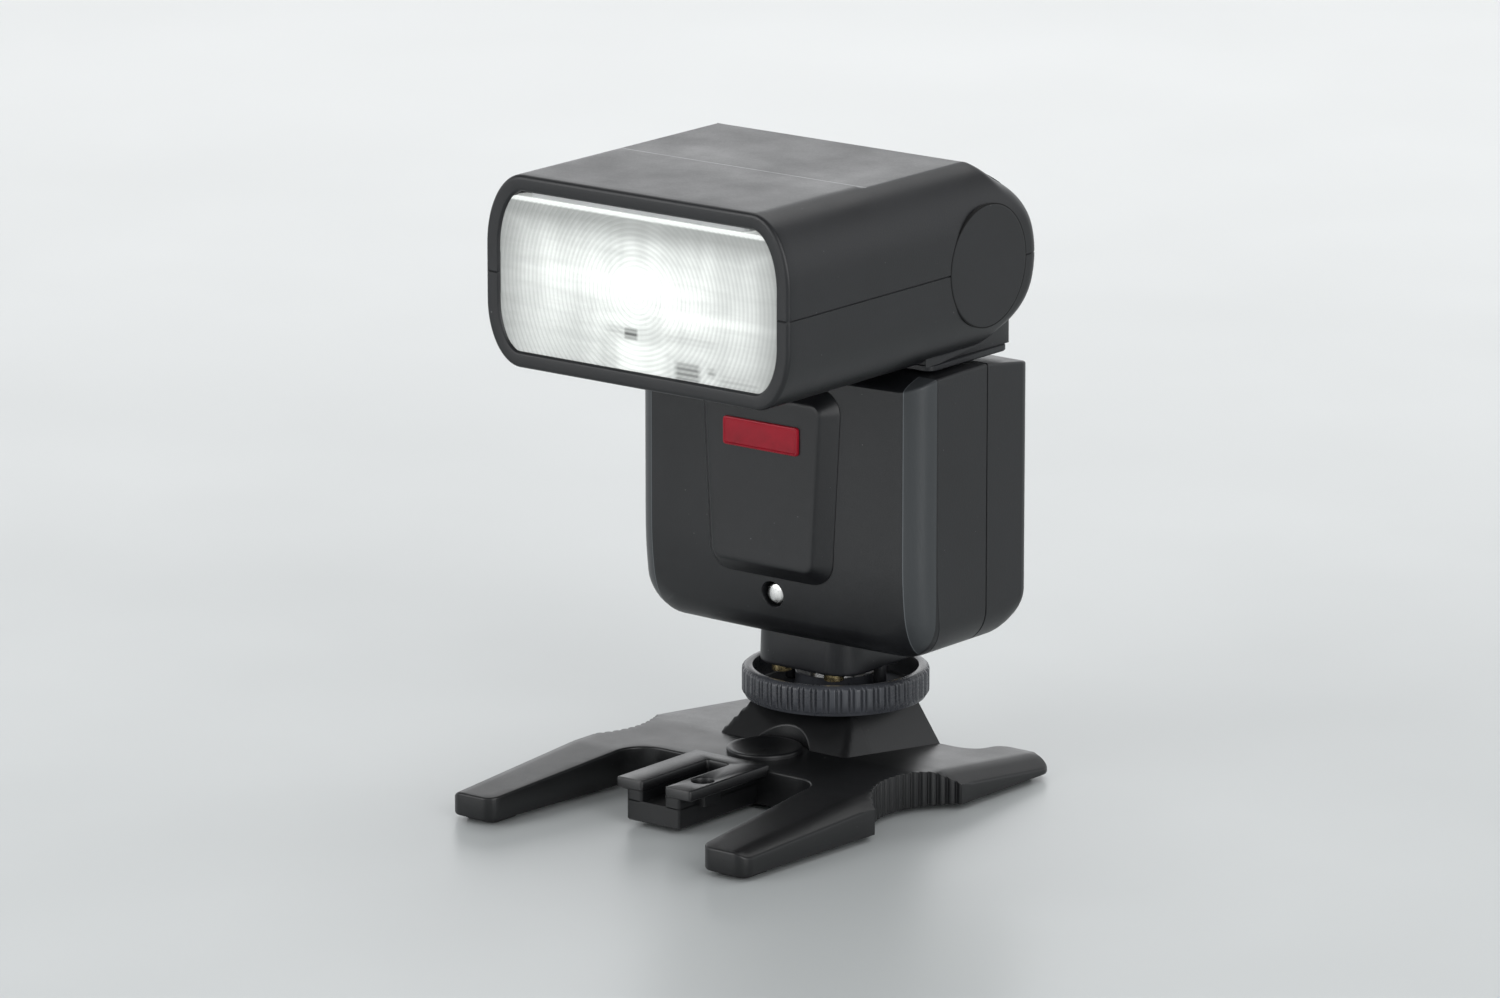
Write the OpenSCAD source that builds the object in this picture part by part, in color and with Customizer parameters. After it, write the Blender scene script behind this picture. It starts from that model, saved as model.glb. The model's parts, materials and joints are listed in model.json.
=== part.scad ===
// Speedlight flash on its table stand.
// Lengths are millimetres. +Z is up, the lens looks along -Y, and the controls are on the +Y side.
// The origin lies on the floor, under the middle of the stand's footprint.

/* [Stand] */
// Overall width of the stand
stand_w = 77; // [72:0.5:86]
// Distance from the shoe axis forward to the tips of the front arms
front_reach = 76; // [70:0.5:84]
// Distance from the shoe axis back to the ends of the rear arms
rear_reach = 20.5; // [20:0.5:26]
// Height of the stand's plate above the floor
plate_top = 8.4; // [7.6:0.1:9]
// Height of the front arms at their tips
tip_top = 5.8; // [4.5:0.1:7]
// Height of the rear arms at their ends
rear_top = 4.5; // [3.8:0.1:6]
// Width of a front arm at its tip
arm_tip_w = 11; // [9.5:0.1:12.5]
// Half of the clear width between the front arm tips
arm_tip_in = 25.5; // [24:0.1:27]
// Half of the clear width between the front arm roots
arm_root_in = 23; // [20:0.1:25]
// Distance from the shoe axis to the back of the bays beside the tongue
bay_back = 34; // [31:0.1:37]
// Corner radius of the bays
bay_r = 6; // [3:0.1:7]
// Corner radius of the arm tips
tip_r = 3; // [1:0.1:4]
// Half of the clear width between the rear arms
rear_in = 25.5; // [22:0.1:28]
// Distance from the shoe axis back to the plate's rear edge
rear_edge = 11.3; // [10.5:0.1:13]
// Width of the slope along the stand's outer edge
edge_w = 4; // [1:0.1:5]
// Height of the slope along the stand's outer edge
edge_h = 2.3; // [1:0.1:4]
// Distance from the shoe axis forward to the middle of the thumb notches
notch_y = 23.5; // [20:0.1:26]
// Depth of a thumb notch
notch_depth = 7; // [4:0.1:9]
// Radius of a thumb notch
notch_r = 17.3; // [12:0.1:24]
// Number of grip grooves in a thumb notch
notch_ribs = 11; // [5:1:15]
// Radius of a grip groove
rib_r = 0.5; // [0.3:0.05:0.8]
// Width of a foot pad
pad_w = 7.4; // [5:0.1:8]
// Length of a foot pad
pad_l = 8; // [5:0.1:9]
// Corner radius of a foot pad
pad_r = 1.5; // [0.5:0.1:2.4]
// How far the pads stand below the plate
pad_h = 1.2; // [0.8:0.1:2]
// How deep the pads sit in the plate
pad_sink = 0.4; // [0.2:0.1:1]
// Distance from the arm ends to the pads
pad_margin = 2.5; // [1.5:0.1:4]
// Corner radius of the bay between the rear arms
rear_bay_r = 4; // [2:0.1:5]

/* [Stand tongue] */
// Width of the tongue that slides into a camera style shoe
tongue_w = 18.4; // [18:0.1:18.6]
// Distance from the shoe axis forward to the end of the tongue
tongue_reach = 58; // [52:0.5:64]
// Height of the tongue's upper face
tongue_top = 9.4; // [9:0.1:10.5]
// Thickness of the tongue's side lips
lip_t = 2.2; // [1.8:0.1:2.6]
// Width of the stem under the lips
tongue_stem_w = 13.2; // [11:0.1:14.5]
// Width of the slot along the tongue
slot_w = 5.5; // [4:0.1:6.5]
// Length of the slot along the tongue
slot_l = 20.5; // [12:0.5:22]
// Depth of the slot along the tongue
slot_depth = 4; // [2:0.1:5]
// Diameter of the hole for a shoe's lock pin
lock_hole_d = 4.4; // [3:0.1:5]
// Distance from the tongue's end back to that hole
lock_hole_back = 8; // [6:0.1:12]

/* [Stand pedestal] */
// Height of the pedestal's upper face above the floor
ped_top = 15; // [14:0.1:18]
// Width of the pedestal at its top
ped_top_w = 24; // [22.5:0.1:27]
// Width of the pedestal at the plate
ped_base_w = 35; // [30:0.1:40]
// Distance from the shoe axis forward to the pedestal's upper edge
ped_front_top = 10.8; // [10.2:0.1:12.5]
// Distance from the shoe axis forward to the pedestal's foot
ped_front_base = 17.5; // [15:0.1:20]
// Distance from the shoe axis back to the pedestal's upper edge
ped_rear_top = 10; // [9.2:0.1:10.4]
// Thickness of the rails that hold the shoe down
rail_t = 1.7; // [1.4:0.1:2.2]
// Distance from the shoe axis forward to the round boss
boss_y = 22.9; // [20:0.1:25]
// Radius of the round boss
boss_r = 7.5; // [6:0.1:8]
// Height of the round boss above the plate
boss_h = 0.9; // [0.4:0.1:1.6]
// Width of the clear ring between the boss and the arch in the pedestal
arch_gap = 1.2; // [0.4:0.1:2]

/* [Tripod bush] */
// Outside diameter of the threaded bush
bush_d = 9.4; // [8.6:0.1:11]
// Diameter of the hole for a quarter inch stud
tripod_d = 6.4; // [6.35:0.01:6.5]
// Thickness of plate left above the bush
bush_roof = 1.2; // [0.8:0.1:2]

/* [Shoe] */
// Width of the flash's shoe plate
shoe_w = 18.5; // [18:0.1:18.6]
// Length of the flash's shoe plate
shoe_l = 18; // [16:0.1:18.4]
// Thickness of the flash's shoe plate
shoe_t = 1.9; // [1.7:0.05:2.1]
// Width of the stem between the rails
stem_w = 12.4; // [11:0.1:12.5]
// Length of the stem between the rails
stem_l = 10; // [7:0.1:11]
// Diameter of the column that the lock ring turns on
column_d = 12; // [10:0.1:12.4]
// Diameter of a spring contact
contact_d = 1.6; // [1:0.1:2]
// How far the contacts stand below the shoe plate
contact_out = 0.25; // [0.1:0.05:0.4]
// Sideways pitch of the outer contacts
contact_pitch_x = 6.4; // [4:0.1:8]
// Lengthwise pitch of the outer contacts
contact_pitch_y = 5; // [3:0.1:6]
// Diameter of the lock pin
lock_pin_d = 1.8; // [1.4:0.1:2]
// Distance from the shoe axis forward to the lock pin
lock_pin_y = 7.4; // [7.3:0.1:7.6]
// Travel of the lock pin
lock_pin_travel = 0.8; // [0.4:0.05:1]

/* [Lock ring] */
// Diameter of the lock ring
ring_d = 37.2; // [35:0.1:42]
// Height of the lock ring
ring_h = 6.1; // [5:0.1:7]
// Thickness of the ring's rim
ring_rim = 2.2; // [1.4:0.1:2.8]
// Thickness of the ring's floor
ring_floor = 1.2; // [0.8:0.1:1.6]
// Wall of the ring's hub
hub_wall = 2; // [1.2:0.1:2.6]
// Number of grip grooves round the ring
ring_grooves = 48; // [24:1:60]
// Radius of a grip groove
ring_groove_r = 0.45; // [0.3:0.05:0.6]
// Height of the plain lip under the grooves
ring_lip = 0.9; // [0.5:0.1:1.5]

/* [Foot neck] */
// Width of the neck
neck_w = 22; // [21:0.1:25]
// Depth of the neck
neck_l = 25; // [24:0.1:28]
// Height of the neck
neck_h = 7.6; // [6:0.1:10]
// Gap between the lock ring and the neck
neck_lift = 1.1; // [0.8:0.1:3]
// Corner radius of the neck
neck_r = 6; // [3:0.1:6.5]
// Diameter of the two posts under the neck
post_d = 2.6; // [1.6:0.1:3.2]
// Diameter of the foot screws
foot_screw_d = 2.4; // [1.6:0.1:2.6]
// Length of the foot screws inside the body
foot_grip = 2.6; // [2:0.1:3]
// Sideways pitch of the foot screws
foot_screw_x = 13; // [12:0.1:14]
// Lengthwise pitch of the foot screws
foot_screw_y = 18; // [17:0.1:18.4]

/* [Body] */
// Width of the body
body_w = 71; // [69.5:0.5:73]
// Height of the body
body_h = 57; // [56.5:0.5:62]
// Distance from the shoe axis forward to the middle of the front face
body_front = 21.2; // [20.8:0.1:23]
// Distance from the shoe axis forward to the ends of the front face
body_edge = 19.5; // [19.3:0.1:20.5]
// Distance from the shoe axis back to the rear face
body_rear = 16.4; // [16.2:0.1:17.2]
// Radius of the front corners
corner_r = 5.5; // [4:0.1:6]
// Radius of the rear corners
rear_r = 3; // [2.2:0.1:3.2]
// Radius of the lower corners
bottom_r = 8; // [5:0.1:9]
// Radius of the lower rear edge
heel_r = 8; // [5:0.1:9]
// Thickness of the shells
wall = 1.8; // [1.6:0.1:2]
// Distance from the shoe axis back to the seam between the shells
seam_y = 2; // [0:0.1:4]
// Distance from the shoe axis forward to the front end of the level top
top_flat = 13; // [11:0.1:15]
// Fall of the top at the front face
front_drop = 1.8; // [1:0.1:2.5]
// Fall of the top at the rear face
rear_drop = 2.1; // [1:0.1:2.4]

/* [Front panel] */
// Width of the raised panel at its top
panel_top_w = 28.4; // [26:0.1:32]
// Width of the raised panel at its bottom
panel_low_w = 24.6; // [22:0.1:28]
// Height of the raised panel's face
panel_face_h = 34; // [30:0.1:36]
// Distance from the body's top down to the panel's face
panel_drop = 7; // [5:0.1:9]
// How far the panel stands out of the body
panel_out = 2.7; // [1.5:0.1:3]
// Width of the slope round the panel
panel_slope = 2.4; // [1:0.1:3]
// Width of the badge
badge_w = 18.4; // [14:0.1:20]
// Height of the badge
badge_h = 5.7; // [4:0.1:7]
// Distance from the panel face's top down to the badge
badge_drop = 4.9; // [3:0.1:8]
// How far the badge stands out of the panel
badge_out = 0.6; // [0.3:0.1:1]
// Corner radius of the badge
badge_r = 0.8; // [0.3:0.1:1.5]
// Diameter of the case screw's hole
case_hole_d = 5.2; // [4.6:0.1:6]
// Height of that hole above the body's bottom
case_hole_z = 9.6; // [9.2:0.1:10]
// Length of the case screw inside the cradle
case_grip = 2; // [1.5:0.1:3]

/* [Power] */
// Diameter of a battery cell
cell_d = 14.4; // [14:0.1:14.5]
// Length of a battery cell
cell_l = 50.5; // [49:0.1:51]
// Room under the cradle for the ends of the foot screws
cell_lift = 4.7; // [4.4:0.1:5]
// Wall of the cradle round the cells
cradle_wall = 0.7; // [0.5:0.05:0.8]
// Thickness of the battery door
door_t = 1.5; // [1.2:0.1:1.6]
// Travel of the battery door
door_travel = 4; // [2:0.1:5]
// Diameter of the main capacitor
capacitor_d = 12.6; // [10:0.1:12.8]
// Length of the main capacitor
capacitor_l = 42; // [30:0.5:43]
// Width of the transformer
transformer_w = 10; // [7:0.1:11]
// Room between the transformer and the capacitor
coil_gap = 2; // [1:0.1:3]
// Thickness of the circuit boards
board_t = 1.4; // [1:0.1:1.6]

/* [Controls] */
// Width of the control panel
control_w = 57; // [54:0.1:60]
// Height of the control panel
control_h = 44; // [43:0.1:44.6]
// Corner radius of the control panel
control_r = 4; // [2.5:0.1:6]
// How far the control panel stands out of the rear shell
control_out = 2.8; // [2.5:0.1:3]
// Thickness of the control panel's face
control_face = 1.6; // [1.2:0.1:1.8]
// Width of the display window
display_w = 42; // [36:0.1:46]
// Height of the display window
display_h = 14; // [10:0.1:15]
// Width of a function button
button_w = 8; // [6:0.1:9]
// Height of a function button
button_h = 4.6; // [3.5:0.1:5.5]
// Spacing of the function buttons
button_pitch = 13; // [11:0.1:13.4]
// Travel of the buttons
button_travel = 0.6; // [0.3:0.1:0.7]
// How far the buttons stand out of the control panel
button_out = 0.7; // [0.4:0.1:1]
// Height of the function buttons above the control panel's lower edge
button_row = 19; // [17.5:0.1:20]
// Height of the test button and the switch above the control panel's lower edge
switch_row = 8.5; // [8:0.1:10]
// Diameter of the test button
test_d = 8; // [6:0.1:9]
// Width of the power switch knob
switch_w = 5; // [4:0.1:6]
// Height of the power switch knob
switch_h = 4; // [3:0.1:5]
// Travel of the power switch
switch_travel = 4.5; // [3:0.1:5.5]
// Diameter of the ready lamp
lamp_d = 2.6; // [2:0.1:3]

/* [Head joint] */
// Height of the tilt axis above the body's top
joint_rise = 20; // [19.6:0.1:23]
// Width of the turret between the head's ears
turret_w = 65; // [62:0.1:65.4]
// Distance from the tilt axis forward to the turret's front
turret_front = 12.5; // [10.5:0.1:13.5]
// Distance from the tilt axis back to the turret's rear
turret_rear = 13.1; // [10.5:0.1:13.6]
// Radius of the turret's drum
drum_r = 14.2; // [13.8:0.1:14.6]
// Wall of the turret
turret_wall = 2.2; // [1.8:0.1:2.6]
// Thickness of the turret's base plate
base_t = 1.4; // [1:0.1:2]
// Diameter of the swivel shaft
swivel_d = 18; // [15:0.1:19]
// Wall of the swivel shaft
swivel_wall = 2.4; // [2:0.1:3]
// Outside diameter of the clip that holds the swivel shaft
clip_d = 22.6; // [21.4:0.1:24]
// Thickness of that clip
clip_t = 1.1; // [0.8:0.1:1.2]
// Diameter of the tilt pins
tilt_pin_d = 8; // [6:0.1:10]
// Length of a tilt pin inside the turret
tilt_pin_grip = 4.5; // [4:0.1:7]
// Least thickness of the head's ears beside the turret
ear_t = 4.2; // [3.8:0.1:4.8]

/* [Head] */
// Width of the head
head_w = 74; // [73:0.1:76]
// Distance from the tilt axis forward to the head's front
head_front = 63; // [60:0.5:68]
// Height of the head above the tilt axis
head_up = 19.9; // [19.6:0.1:21]
// Depth of the head below the tilt axis
head_down = 18.2; // [17.9:0.1:18.6]
// Radius of the head's upper corners
head_top_r = 10.5; // [9:0.1:11]
// Radius of the head's lower corners
head_low_r = 8; // [7:0.1:9]
// Radius of the ears round the tilt axis
ear_r = 17; // [16.2:0.1:17.4]
// Run of the head's bottom up into the ears
ear_run = 10; // [6:0.5:12]
// Distance from the tilt axis forward to the crease across the top
crease_y = 30; // [24:0.5:38]
// Half width of the flat top panel behind the crease
deck_half_w = 30; // [28:0.1:31.5]
// Thickness of the deck above the rounded shell
deck_t = 3; // [2:0.1:4]
// Diameter of the pivot caps
cap_d = 24.2; // [20:0.1:26]
// Thickness of the pivot caps
cap_t = 1.4; // [1:0.1:1.6]
// Side margin of the rim round the lens
rim_side = 3.5; // [3:0.1:4.5]
// Top margin of the rim round the lens
rim_top = 3; // [2.6:0.1:3.4]
// Bottom margin of the rim round the lens
rim_low = 2.6; // [2.2:0.1:3.2]
// Corner radius of the lens opening
rim_r = 7.4; // [5:0.1:8]
// Depth of the rim in front of the lens
rim_depth = 1.6; // [1.2:0.1:2]
// Thickness of the lens
lens_t = 2; // [1.5:0.1:2.5]

/* [Zoom unit] */
// Thickness of the wide angle panel
wide_t = 0.9; // [0.7:0.05:1.1]
// Width of the wide angle panel
wide_w = 53.6; // [48:0.1:58]
// Length of the wide angle panel
wide_l = 34; // [28:0.5:36]
// Thickness of the tray under the wide angle panel
tray_t = 1; // [0.8:0.1:1.2]
// Focal length of the reflector
reflector_f = 1.6; // [1.3:0.05:1.65]
// Depth of the reflector
reflector_depth = 18; // [14:0.1:18.4]
// Width of the reflector
reflector_w = 56; // [48:0.1:57]
// Thickness of the reflector
reflector_t = 0.7; // [0.5:0.05:0.9]
// Diameter of the flash tube
tube_d = 3; // [2:0.1:3.4]
// Length of the flash tube
tube_l = 63; // [58.5:0.1:65]
// Diameter of the guide rods
rod_d = 2.2; // [1.6:0.1:2.4]
// Half spacing of the guide rods
rod_x = 30; // [28.6:0.1:30.4]
// Depth of the guide rods below the tilt axis
rod_drop = 13.4; // [13:0.1:13.8]
// Diameter of the lead screw
lead_d = 1.8; // [1.2:0.1:2]
// Sideways place of the lead screw
lead_x = 23; // [20:0.1:24]
// Diameter of the zoom motor
motor_d = 5.4; // [4:0.1:5.6]
// Length of the zoom motor
motor_l = 5; // [3:0.1:5.2]
// Half spacing of the head screws
head_screw_x = 16; // [13:0.1:17]
// Diameter of the head screws
head_screw_d = 2; // [1.4:0.1:2.4]
// Wall of the bosses round the head screws
head_boss_wall = 1.2; // [1:0.1:1.6]
// Room between the tray and the turret's drum
tray_room = 6.5; // [5:0.1:8]
// Thickness of the carriage behind the reflector
carriage_t = 5; // [3.5:0.1:6]
// How far the carriage reaches forward round the reflector
carriage_grip = 2; // [1:0.1:3]
// Wall of the carriage round the guide rods
carriage_wall = 0.8; // [0.6:0.1:1]

/* [Fits] */
// Radial clearance of turning and sliding round fits
fit_run = 0.05; // [0.02:0.01:0.08]
// Clearance of flat sliding fits
fit_slide = 0.15; // [0.1:0.01:0.2]
// Clear gap between pieces that move past each other
gap = 0.3; // [0.2:0.05:0.4]

/* [Hidden] */
$fn = 64;

// Overlap of shapes that are joined, and the reach of cuts past a face
eps = 0.02;
over = 1;
far = 60;
// Clearance of pieces that rest on each other
touch = 0.05;

// Stand places, measured from the shoe axis
shoe_y = (front_reach - rear_reach) / 2;
stand_half = stand_w / 2;
arm_tip_out = arm_tip_in + arm_tip_w;
front_pad_x = arm_tip_in + arm_tip_w / 2;
front_pad_y = -front_reach + pad_margin + pad_l / 2;
rear_pad_x = (rear_in + stand_half) / 2;
rear_pad_y = rear_reach - pad_margin - pad_l / 2;
notch_x = stand_half - notch_depth + notch_r;
notch_turn = acos((notch_r - notch_depth) / notch_r) * 0.82;
lock_hole_x = (slot_w + tongue_w) / 4;
bush_top = plate_top - bush_roof;
rear_fall = (plate_top - rear_top) / (ped_front_base + rear_reach);
rear_edge_z = plate_top - rear_fall * (ped_front_base + rear_edge);

// Heights of the shoe, the ring and the neck
socket_roof = ped_top - rail_t;
shoe_z1 = socket_roof - fit_slide;
shoe_z0 = shoe_z1 - shoe_t;
socket_floor = shoe_z0 - contact_out - touch;
contact_top = shoe_z0 + shoe_t / 2;
ring_z0 = ped_top + fit_slide + touch;
ring_z1 = ring_z0 + ring_h;
neck_z0 = ring_z1 + neck_lift;
body_bottom = neck_z0 + neck_h;
body_top = body_bottom + body_h;
tilt_z = body_top + joint_rise;
ring_bore = column_d / 2 + fit_run;
hub_r = ring_bore + hub_wall;
foot_head_h = 1.4;
foot_head_d = foot_screw_d + 1.6;
foot_tip_z = body_bottom + wall + foot_grip;

// Body places
body_half = body_w / 2;
front_half = body_half - corner_r;
front_sag = body_front - body_edge;
front_arc = (front_half * front_half + front_sag * front_sag) / (2 * front_sag);
front_lap = 2 * corner_r * front_sag / front_half;
panel_z1 = body_top - panel_drop;
panel_z0 = panel_z1 - panel_face_h;
panel_y = -body_front - panel_out;
panel_r = 3;
badge_z1 = panel_z1 - badge_drop;

// Power places
cell_bore = cell_d + 2 * fit_slide;
cell_pitch = cell_bore + cradle_wall / 2;
cradle_y0 = -body_edge + wall + gap;
cradle_z0 = body_bottom + wall + cell_lift;
cradle_size = cell_pitch + cell_bore + 2 * cradle_wall;
cradle_y1 = cradle_y0 + cradle_size;
cradle_z1 = cradle_z0 + cradle_size;
cell_y = cradle_y0 + cradle_wall + cell_bore / 2;
cell_z = cradle_z0 + cradle_wall + cell_bore / 2;
door_room = 6;
cell_x0 = -body_half + wall + door_room;
cell_x1 = cell_x0 + cell_l;
contact_plate_t = 0.6;
contact_rim = 2;
cradle_x1 = cell_x1 + contact_plate_t + 2 * cradle_wall;
cell_nub = 1;
door_y0 = cradle_y0 + gap;
door_y1 = body_rear - rear_r;
door_z0 = body_bottom + bottom_r / 2;
door_z1 = cradle_z1 + 2;
door_wrap = 4.5;
frame_t = 1.3;
door_plate_z0 = cradle_z0 + door_travel + 1;
door_spring_d = 4.6;
capacitor_z = cradle_z1 + touch + capacitor_d / 2;
capacitor_x1 = cradle_x1 - transformer_w - coil_gap;
capacitor_y = -9;
case_z = body_bottom + case_hole_z;
case_screw_d = 2;
case_head_h = 1.3;
case_seat_y = cradle_y0 - 1;
main_board_x0 = cradle_x1 + gap;

// Control places
control_rim = 2.2;
control_z0 = body_bottom + heel_r + gap;
control_z = control_z0 + control_h / 2;
control_y1 = body_rear + control_out;
control_in_y = control_y1 - control_face;
control_pocket_w = control_w - 2 * control_rim;
control_pocket_h = control_h - 2 * control_rim;
control_pocket_r = control_r - control_rim / 2;
board_y1 = body_rear - 1;
display_z = control_z0 + control_h - control_rim - 2 - display_h / 2;
button_z = control_z0 + button_row;
switch_z = control_z0 + switch_row;
flange_y1 = control_in_y - touch;
flange_y0 = board_y1 + button_travel + gap;
button_y1 = control_y1 + button_out;
flange_w = 1.2;
test_x = 16;
lamp_x = 3;
switch_x = -19;

// Head joint places
turret_z0 = body_top + gap + base_t;
bearing_h = 3.5;
bearing_z0 = body_top - bearing_h;
clip_z1 = bearing_z0 - fit_slide;
clip_z0 = clip_z1 - clip_t;
swivel_z0 = clip_z0 - 0.8;
groove_d = swivel_d - 1.6;
ear_in = turret_w / 2 + gap;
head_half = head_w / 2;
ear_half = max(head_half, ear_in + ear_t);
tilt_pin_x0 = turret_w / 2 - tilt_pin_grip;
tilt_pin_x1 = ear_half - cap_t - gap;

// Head places, with heights measured from the tilt axis
drum_clear = drum_r + gap;
ear_y0 = -drum_clear - 2 * wall;
deck_rear = 0.5;
deck_wall = 1.8;
rim_y = -head_front + rim_depth;
lens_y1 = rim_y + lens_t;
opening_up = head_up - rim_top;
opening_down = head_down - rim_low;
opening_half = head_half - rim_side;
wide_z1 = opening_up - fit_slide;
wide_z0 = wide_z1 - wide_t;
tray_z1 = wide_z0 - fit_slide;
tray_z0 = tray_z1 - tray_t;
wide_set = 0.4;
tray_y1 = -drum_clear - tray_room;
reflector_y0 = lens_y1 + 1.5;
vertex_y = reflector_y0 + reflector_depth;
reflector_h = sqrt(4 * reflector_f * reflector_depth);
outer_h = reflector_h + reflector_t;
outer_f = outer_h * outer_h / (4 * (reflector_depth + reflector_t));
tube_y = vertex_y - reflector_f;
carriage_half = 14;
carriage_h = 6;
carriage_y1 = vertex_y + carriage_t;
rib_t = 1.8;
rib_y0 = -drum_clear - rib_t;
motor_y0 = rib_y0 - motor_l;
head_boss_d = head_screw_d + 2 * head_boss_wall;
head_boss_y = -drum_clear - head_boss_d / 2;
head_screw_head_d = head_screw_d + 1.6;
head_screw_head_h = 1.2;

// Points on an arc about a centre, from one angle to another
function arc(x, y, r, a0, a1, n = 6) =
    [for (i = [0:n]) let (a = a0 + (a1 - a0) * i / n) [x + r * cos(a), y + r * sin(a)]];

// A half outline on +X closed by its mirror image
function both_sides(half) = concat(half, [for (i = [len(half) - 1:-1:0]) [-half[i][0], half[i][1]]]);

// Half width inside the head's upper corners at a height above the tilt axis
function head_in_x(z) =
    head_half - head_top_r + sqrt(pow(head_top_r - wall, 2) - pow(max(0, z - head_up + head_top_r), 2));

// Points of a parabola that opens towards -Y, as [y, z]
function parabola(f, vertex, h, n = 12) = [for (i = [-n:n]) let (z = h * i / n) [vertex - z * z / (4 * f), z]];

module at_shoe() {
    translate([0, shoe_y, 0]) children();
}

module at_tilt() {
    translate([0, shoe_y, tilt_z]) children();
}

module block(x0, x1, y0, y1, z0, z1) {
    translate([x0, y0, z0]) cube([x1 - x0, y1 - y0, z1 - z0]);
}

module bar_x(d, x0, x1, y, z) {
    translate([x0, y, z]) rotate([0, 90, 0]) cylinder(d = d, h = x1 - x0);
}

module bar_y(d, y0, y1, x, z) {
    translate([x, y1, z]) rotate([90, 0, 0]) cylinder(d = d, h = y1 - y0);
}

module bar_z(d, z0, z1, x = 0, y = 0) {
    translate([x, y, z0]) cylinder(d = d, h = z1 - z0);
}

// A [y, z] outline drawn out along X
module along_x(x0, x1) {
    translate([x0, 0, 0]) rotate([90, 0, 90]) linear_extrude(x1 - x0) children();
}

// An [x, z] outline drawn out along Y
module along_y(y0, y1) {
    translate([0, y1, 0]) rotate([90, 0, 0]) linear_extrude(y1 - y0) children();
}

module round_rect(w, h, r) {
    square([w - 2 * r, h], center = true);
    square([w, h - 2 * r], center = true);
    for (sx = [-1, 1], sy = [-1, 1])
        translate([sx * (w / 2 - r), sy * (h / 2 - r)]) circle(r = r);
}

module on_both_sides() {
    children();
    mirror([1, 0, 0]) children();
}

// Stand

module stand_outline() {
    polygon(both_sides(concat(
        arc(arm_root_in - bay_r, -bay_back - bay_r, bay_r, 90, 0),
        arc(arm_tip_in + tip_r, -front_reach + tip_r, tip_r, 180, 270),
        arc(arm_tip_out - tip_r, -front_reach + tip_r, tip_r, 270, 360),
        [[stand_half, -notch_y]],
        arc(stand_half - tip_r, rear_reach - tip_r, tip_r, 0, 90),
        arc(rear_in + tip_r, rear_reach - tip_r, tip_r, 90, 180),
        arc(rear_in - rear_bay_r, rear_edge + rear_bay_r, rear_bay_r, 0, -90)
    )));
}

module stand_plate() {
    slope = edge_w / edge_h;
    intersection() {
        linear_extrude(plate_top + 2 * over) stand_outline();
        along_x(-stand_half - over, stand_half + over) polygon([
            [-front_reach - over, pad_h],
            [rear_reach + over, pad_h],
            [rear_reach + over, rear_top],
            [rear_reach, rear_top],
            [-ped_front_base, plate_top],
            [-bay_back - bay_r, plate_top],
            [-front_reach, tip_top],
            [-front_reach - over, tip_top]
        ]);
        along_y(-front_reach - over, rear_reach + over) polygon(both_sides([
            [stand_half + over * slope, 0],
            [stand_half + over * slope, plate_top - edge_h - over],
            [stand_half - edge_w - over * slope, plate_top + over]
        ]));
    }
}

module pedestal() {
    base_z = rear_edge_z - over;
    difference() {
        intersection() {
            along_y(-ped_front_base - over, rear_edge + over) polygon(both_sides([
                [ped_base_w / 2, base_z],
                [ped_base_w / 2, rear_edge_z],
                [ped_top_w / 2, ped_top]
            ]));
            along_x(-ped_base_w, ped_base_w) polygon([
                [-ped_front_base, base_z],
                [rear_edge, base_z],
                [rear_edge, rear_edge_z],
                [ped_rear_top, ped_top],
                [-ped_front_top, ped_top],
                [-ped_front_base, plate_top]
            ]);
        }
        bar_z(2 * (boss_r + arch_gap), plate_top, ped_top + over, 0, -boss_y);
    }
}

module tongue() {
    under = tongue_top - lip_t;
    block(-tongue_stem_w / 2, tongue_stem_w / 2, -tongue_reach, -bay_back + over, pad_h, under + eps);
    block(-tongue_w / 2, tongue_w / 2, -tongue_reach, -bay_back + over, under, tongue_top);
}

module thumb_notch() {
    translate([notch_x, -notch_y, 0]) {
        cylinder(r = notch_r, h = far);
        for (i = [0:notch_ribs - 1])
            rotate([0, 0, 180 + notch_turn * (2 * i / (notch_ribs - 1) - 1)])
                translate([notch_r, 0, 0]) cylinder(r = rib_r, h = far, $fn = 24);
    }
}

module shoe_socket() {
    wide = shoe_w / 2 + fit_slide;
    slim = stem_w / 2 + fit_slide;
    front = -shoe_l / 2 - fit_slide;
    block(-wide, wide, front, rear_edge + over, socket_floor, socket_roof);
    block(-slim, slim, front, rear_edge + over, socket_roof - eps, ped_top + over);
}

module at_pads() {
    for (s = [-1, 1]) {
        translate([s * front_pad_x, front_pad_y, 0]) children();
        translate([s * rear_pad_x, rear_pad_y, 0]) children();
    }
}

module stand_base() {
    color("#1c1d20") at_shoe() difference() {
        union() {
            stand_plate();
            pedestal();
            tongue();
            bar_z(2 * boss_r, plate_top - over, plate_top + boss_h, 0, -boss_y);
        }
        on_both_sides() thumb_notch();
        shoe_socket();
        block(-slot_w / 2, slot_w / 2, -tongue_reach - over, -tongue_reach + slot_l,
              tongue_top - slot_depth, tongue_top + over);
        bar_z(lock_hole_d, tongue_top - slot_depth, tongue_top + over,
              lock_hole_x, -tongue_reach + lock_hole_back);
        at_pads() linear_extrude(pad_h + pad_sink) round_rect(pad_w + 2 * touch, pad_l + 2 * touch, pad_r);
        bar_z(bush_d + 2 * fit_run, 0, bush_top, 0, -boss_y);
    }
}

module stand_pads() {
    color("#2a2a2c") at_shoe() at_pads() linear_extrude(pad_h + pad_sink) round_rect(pad_w, pad_l, pad_r);
}

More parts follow.
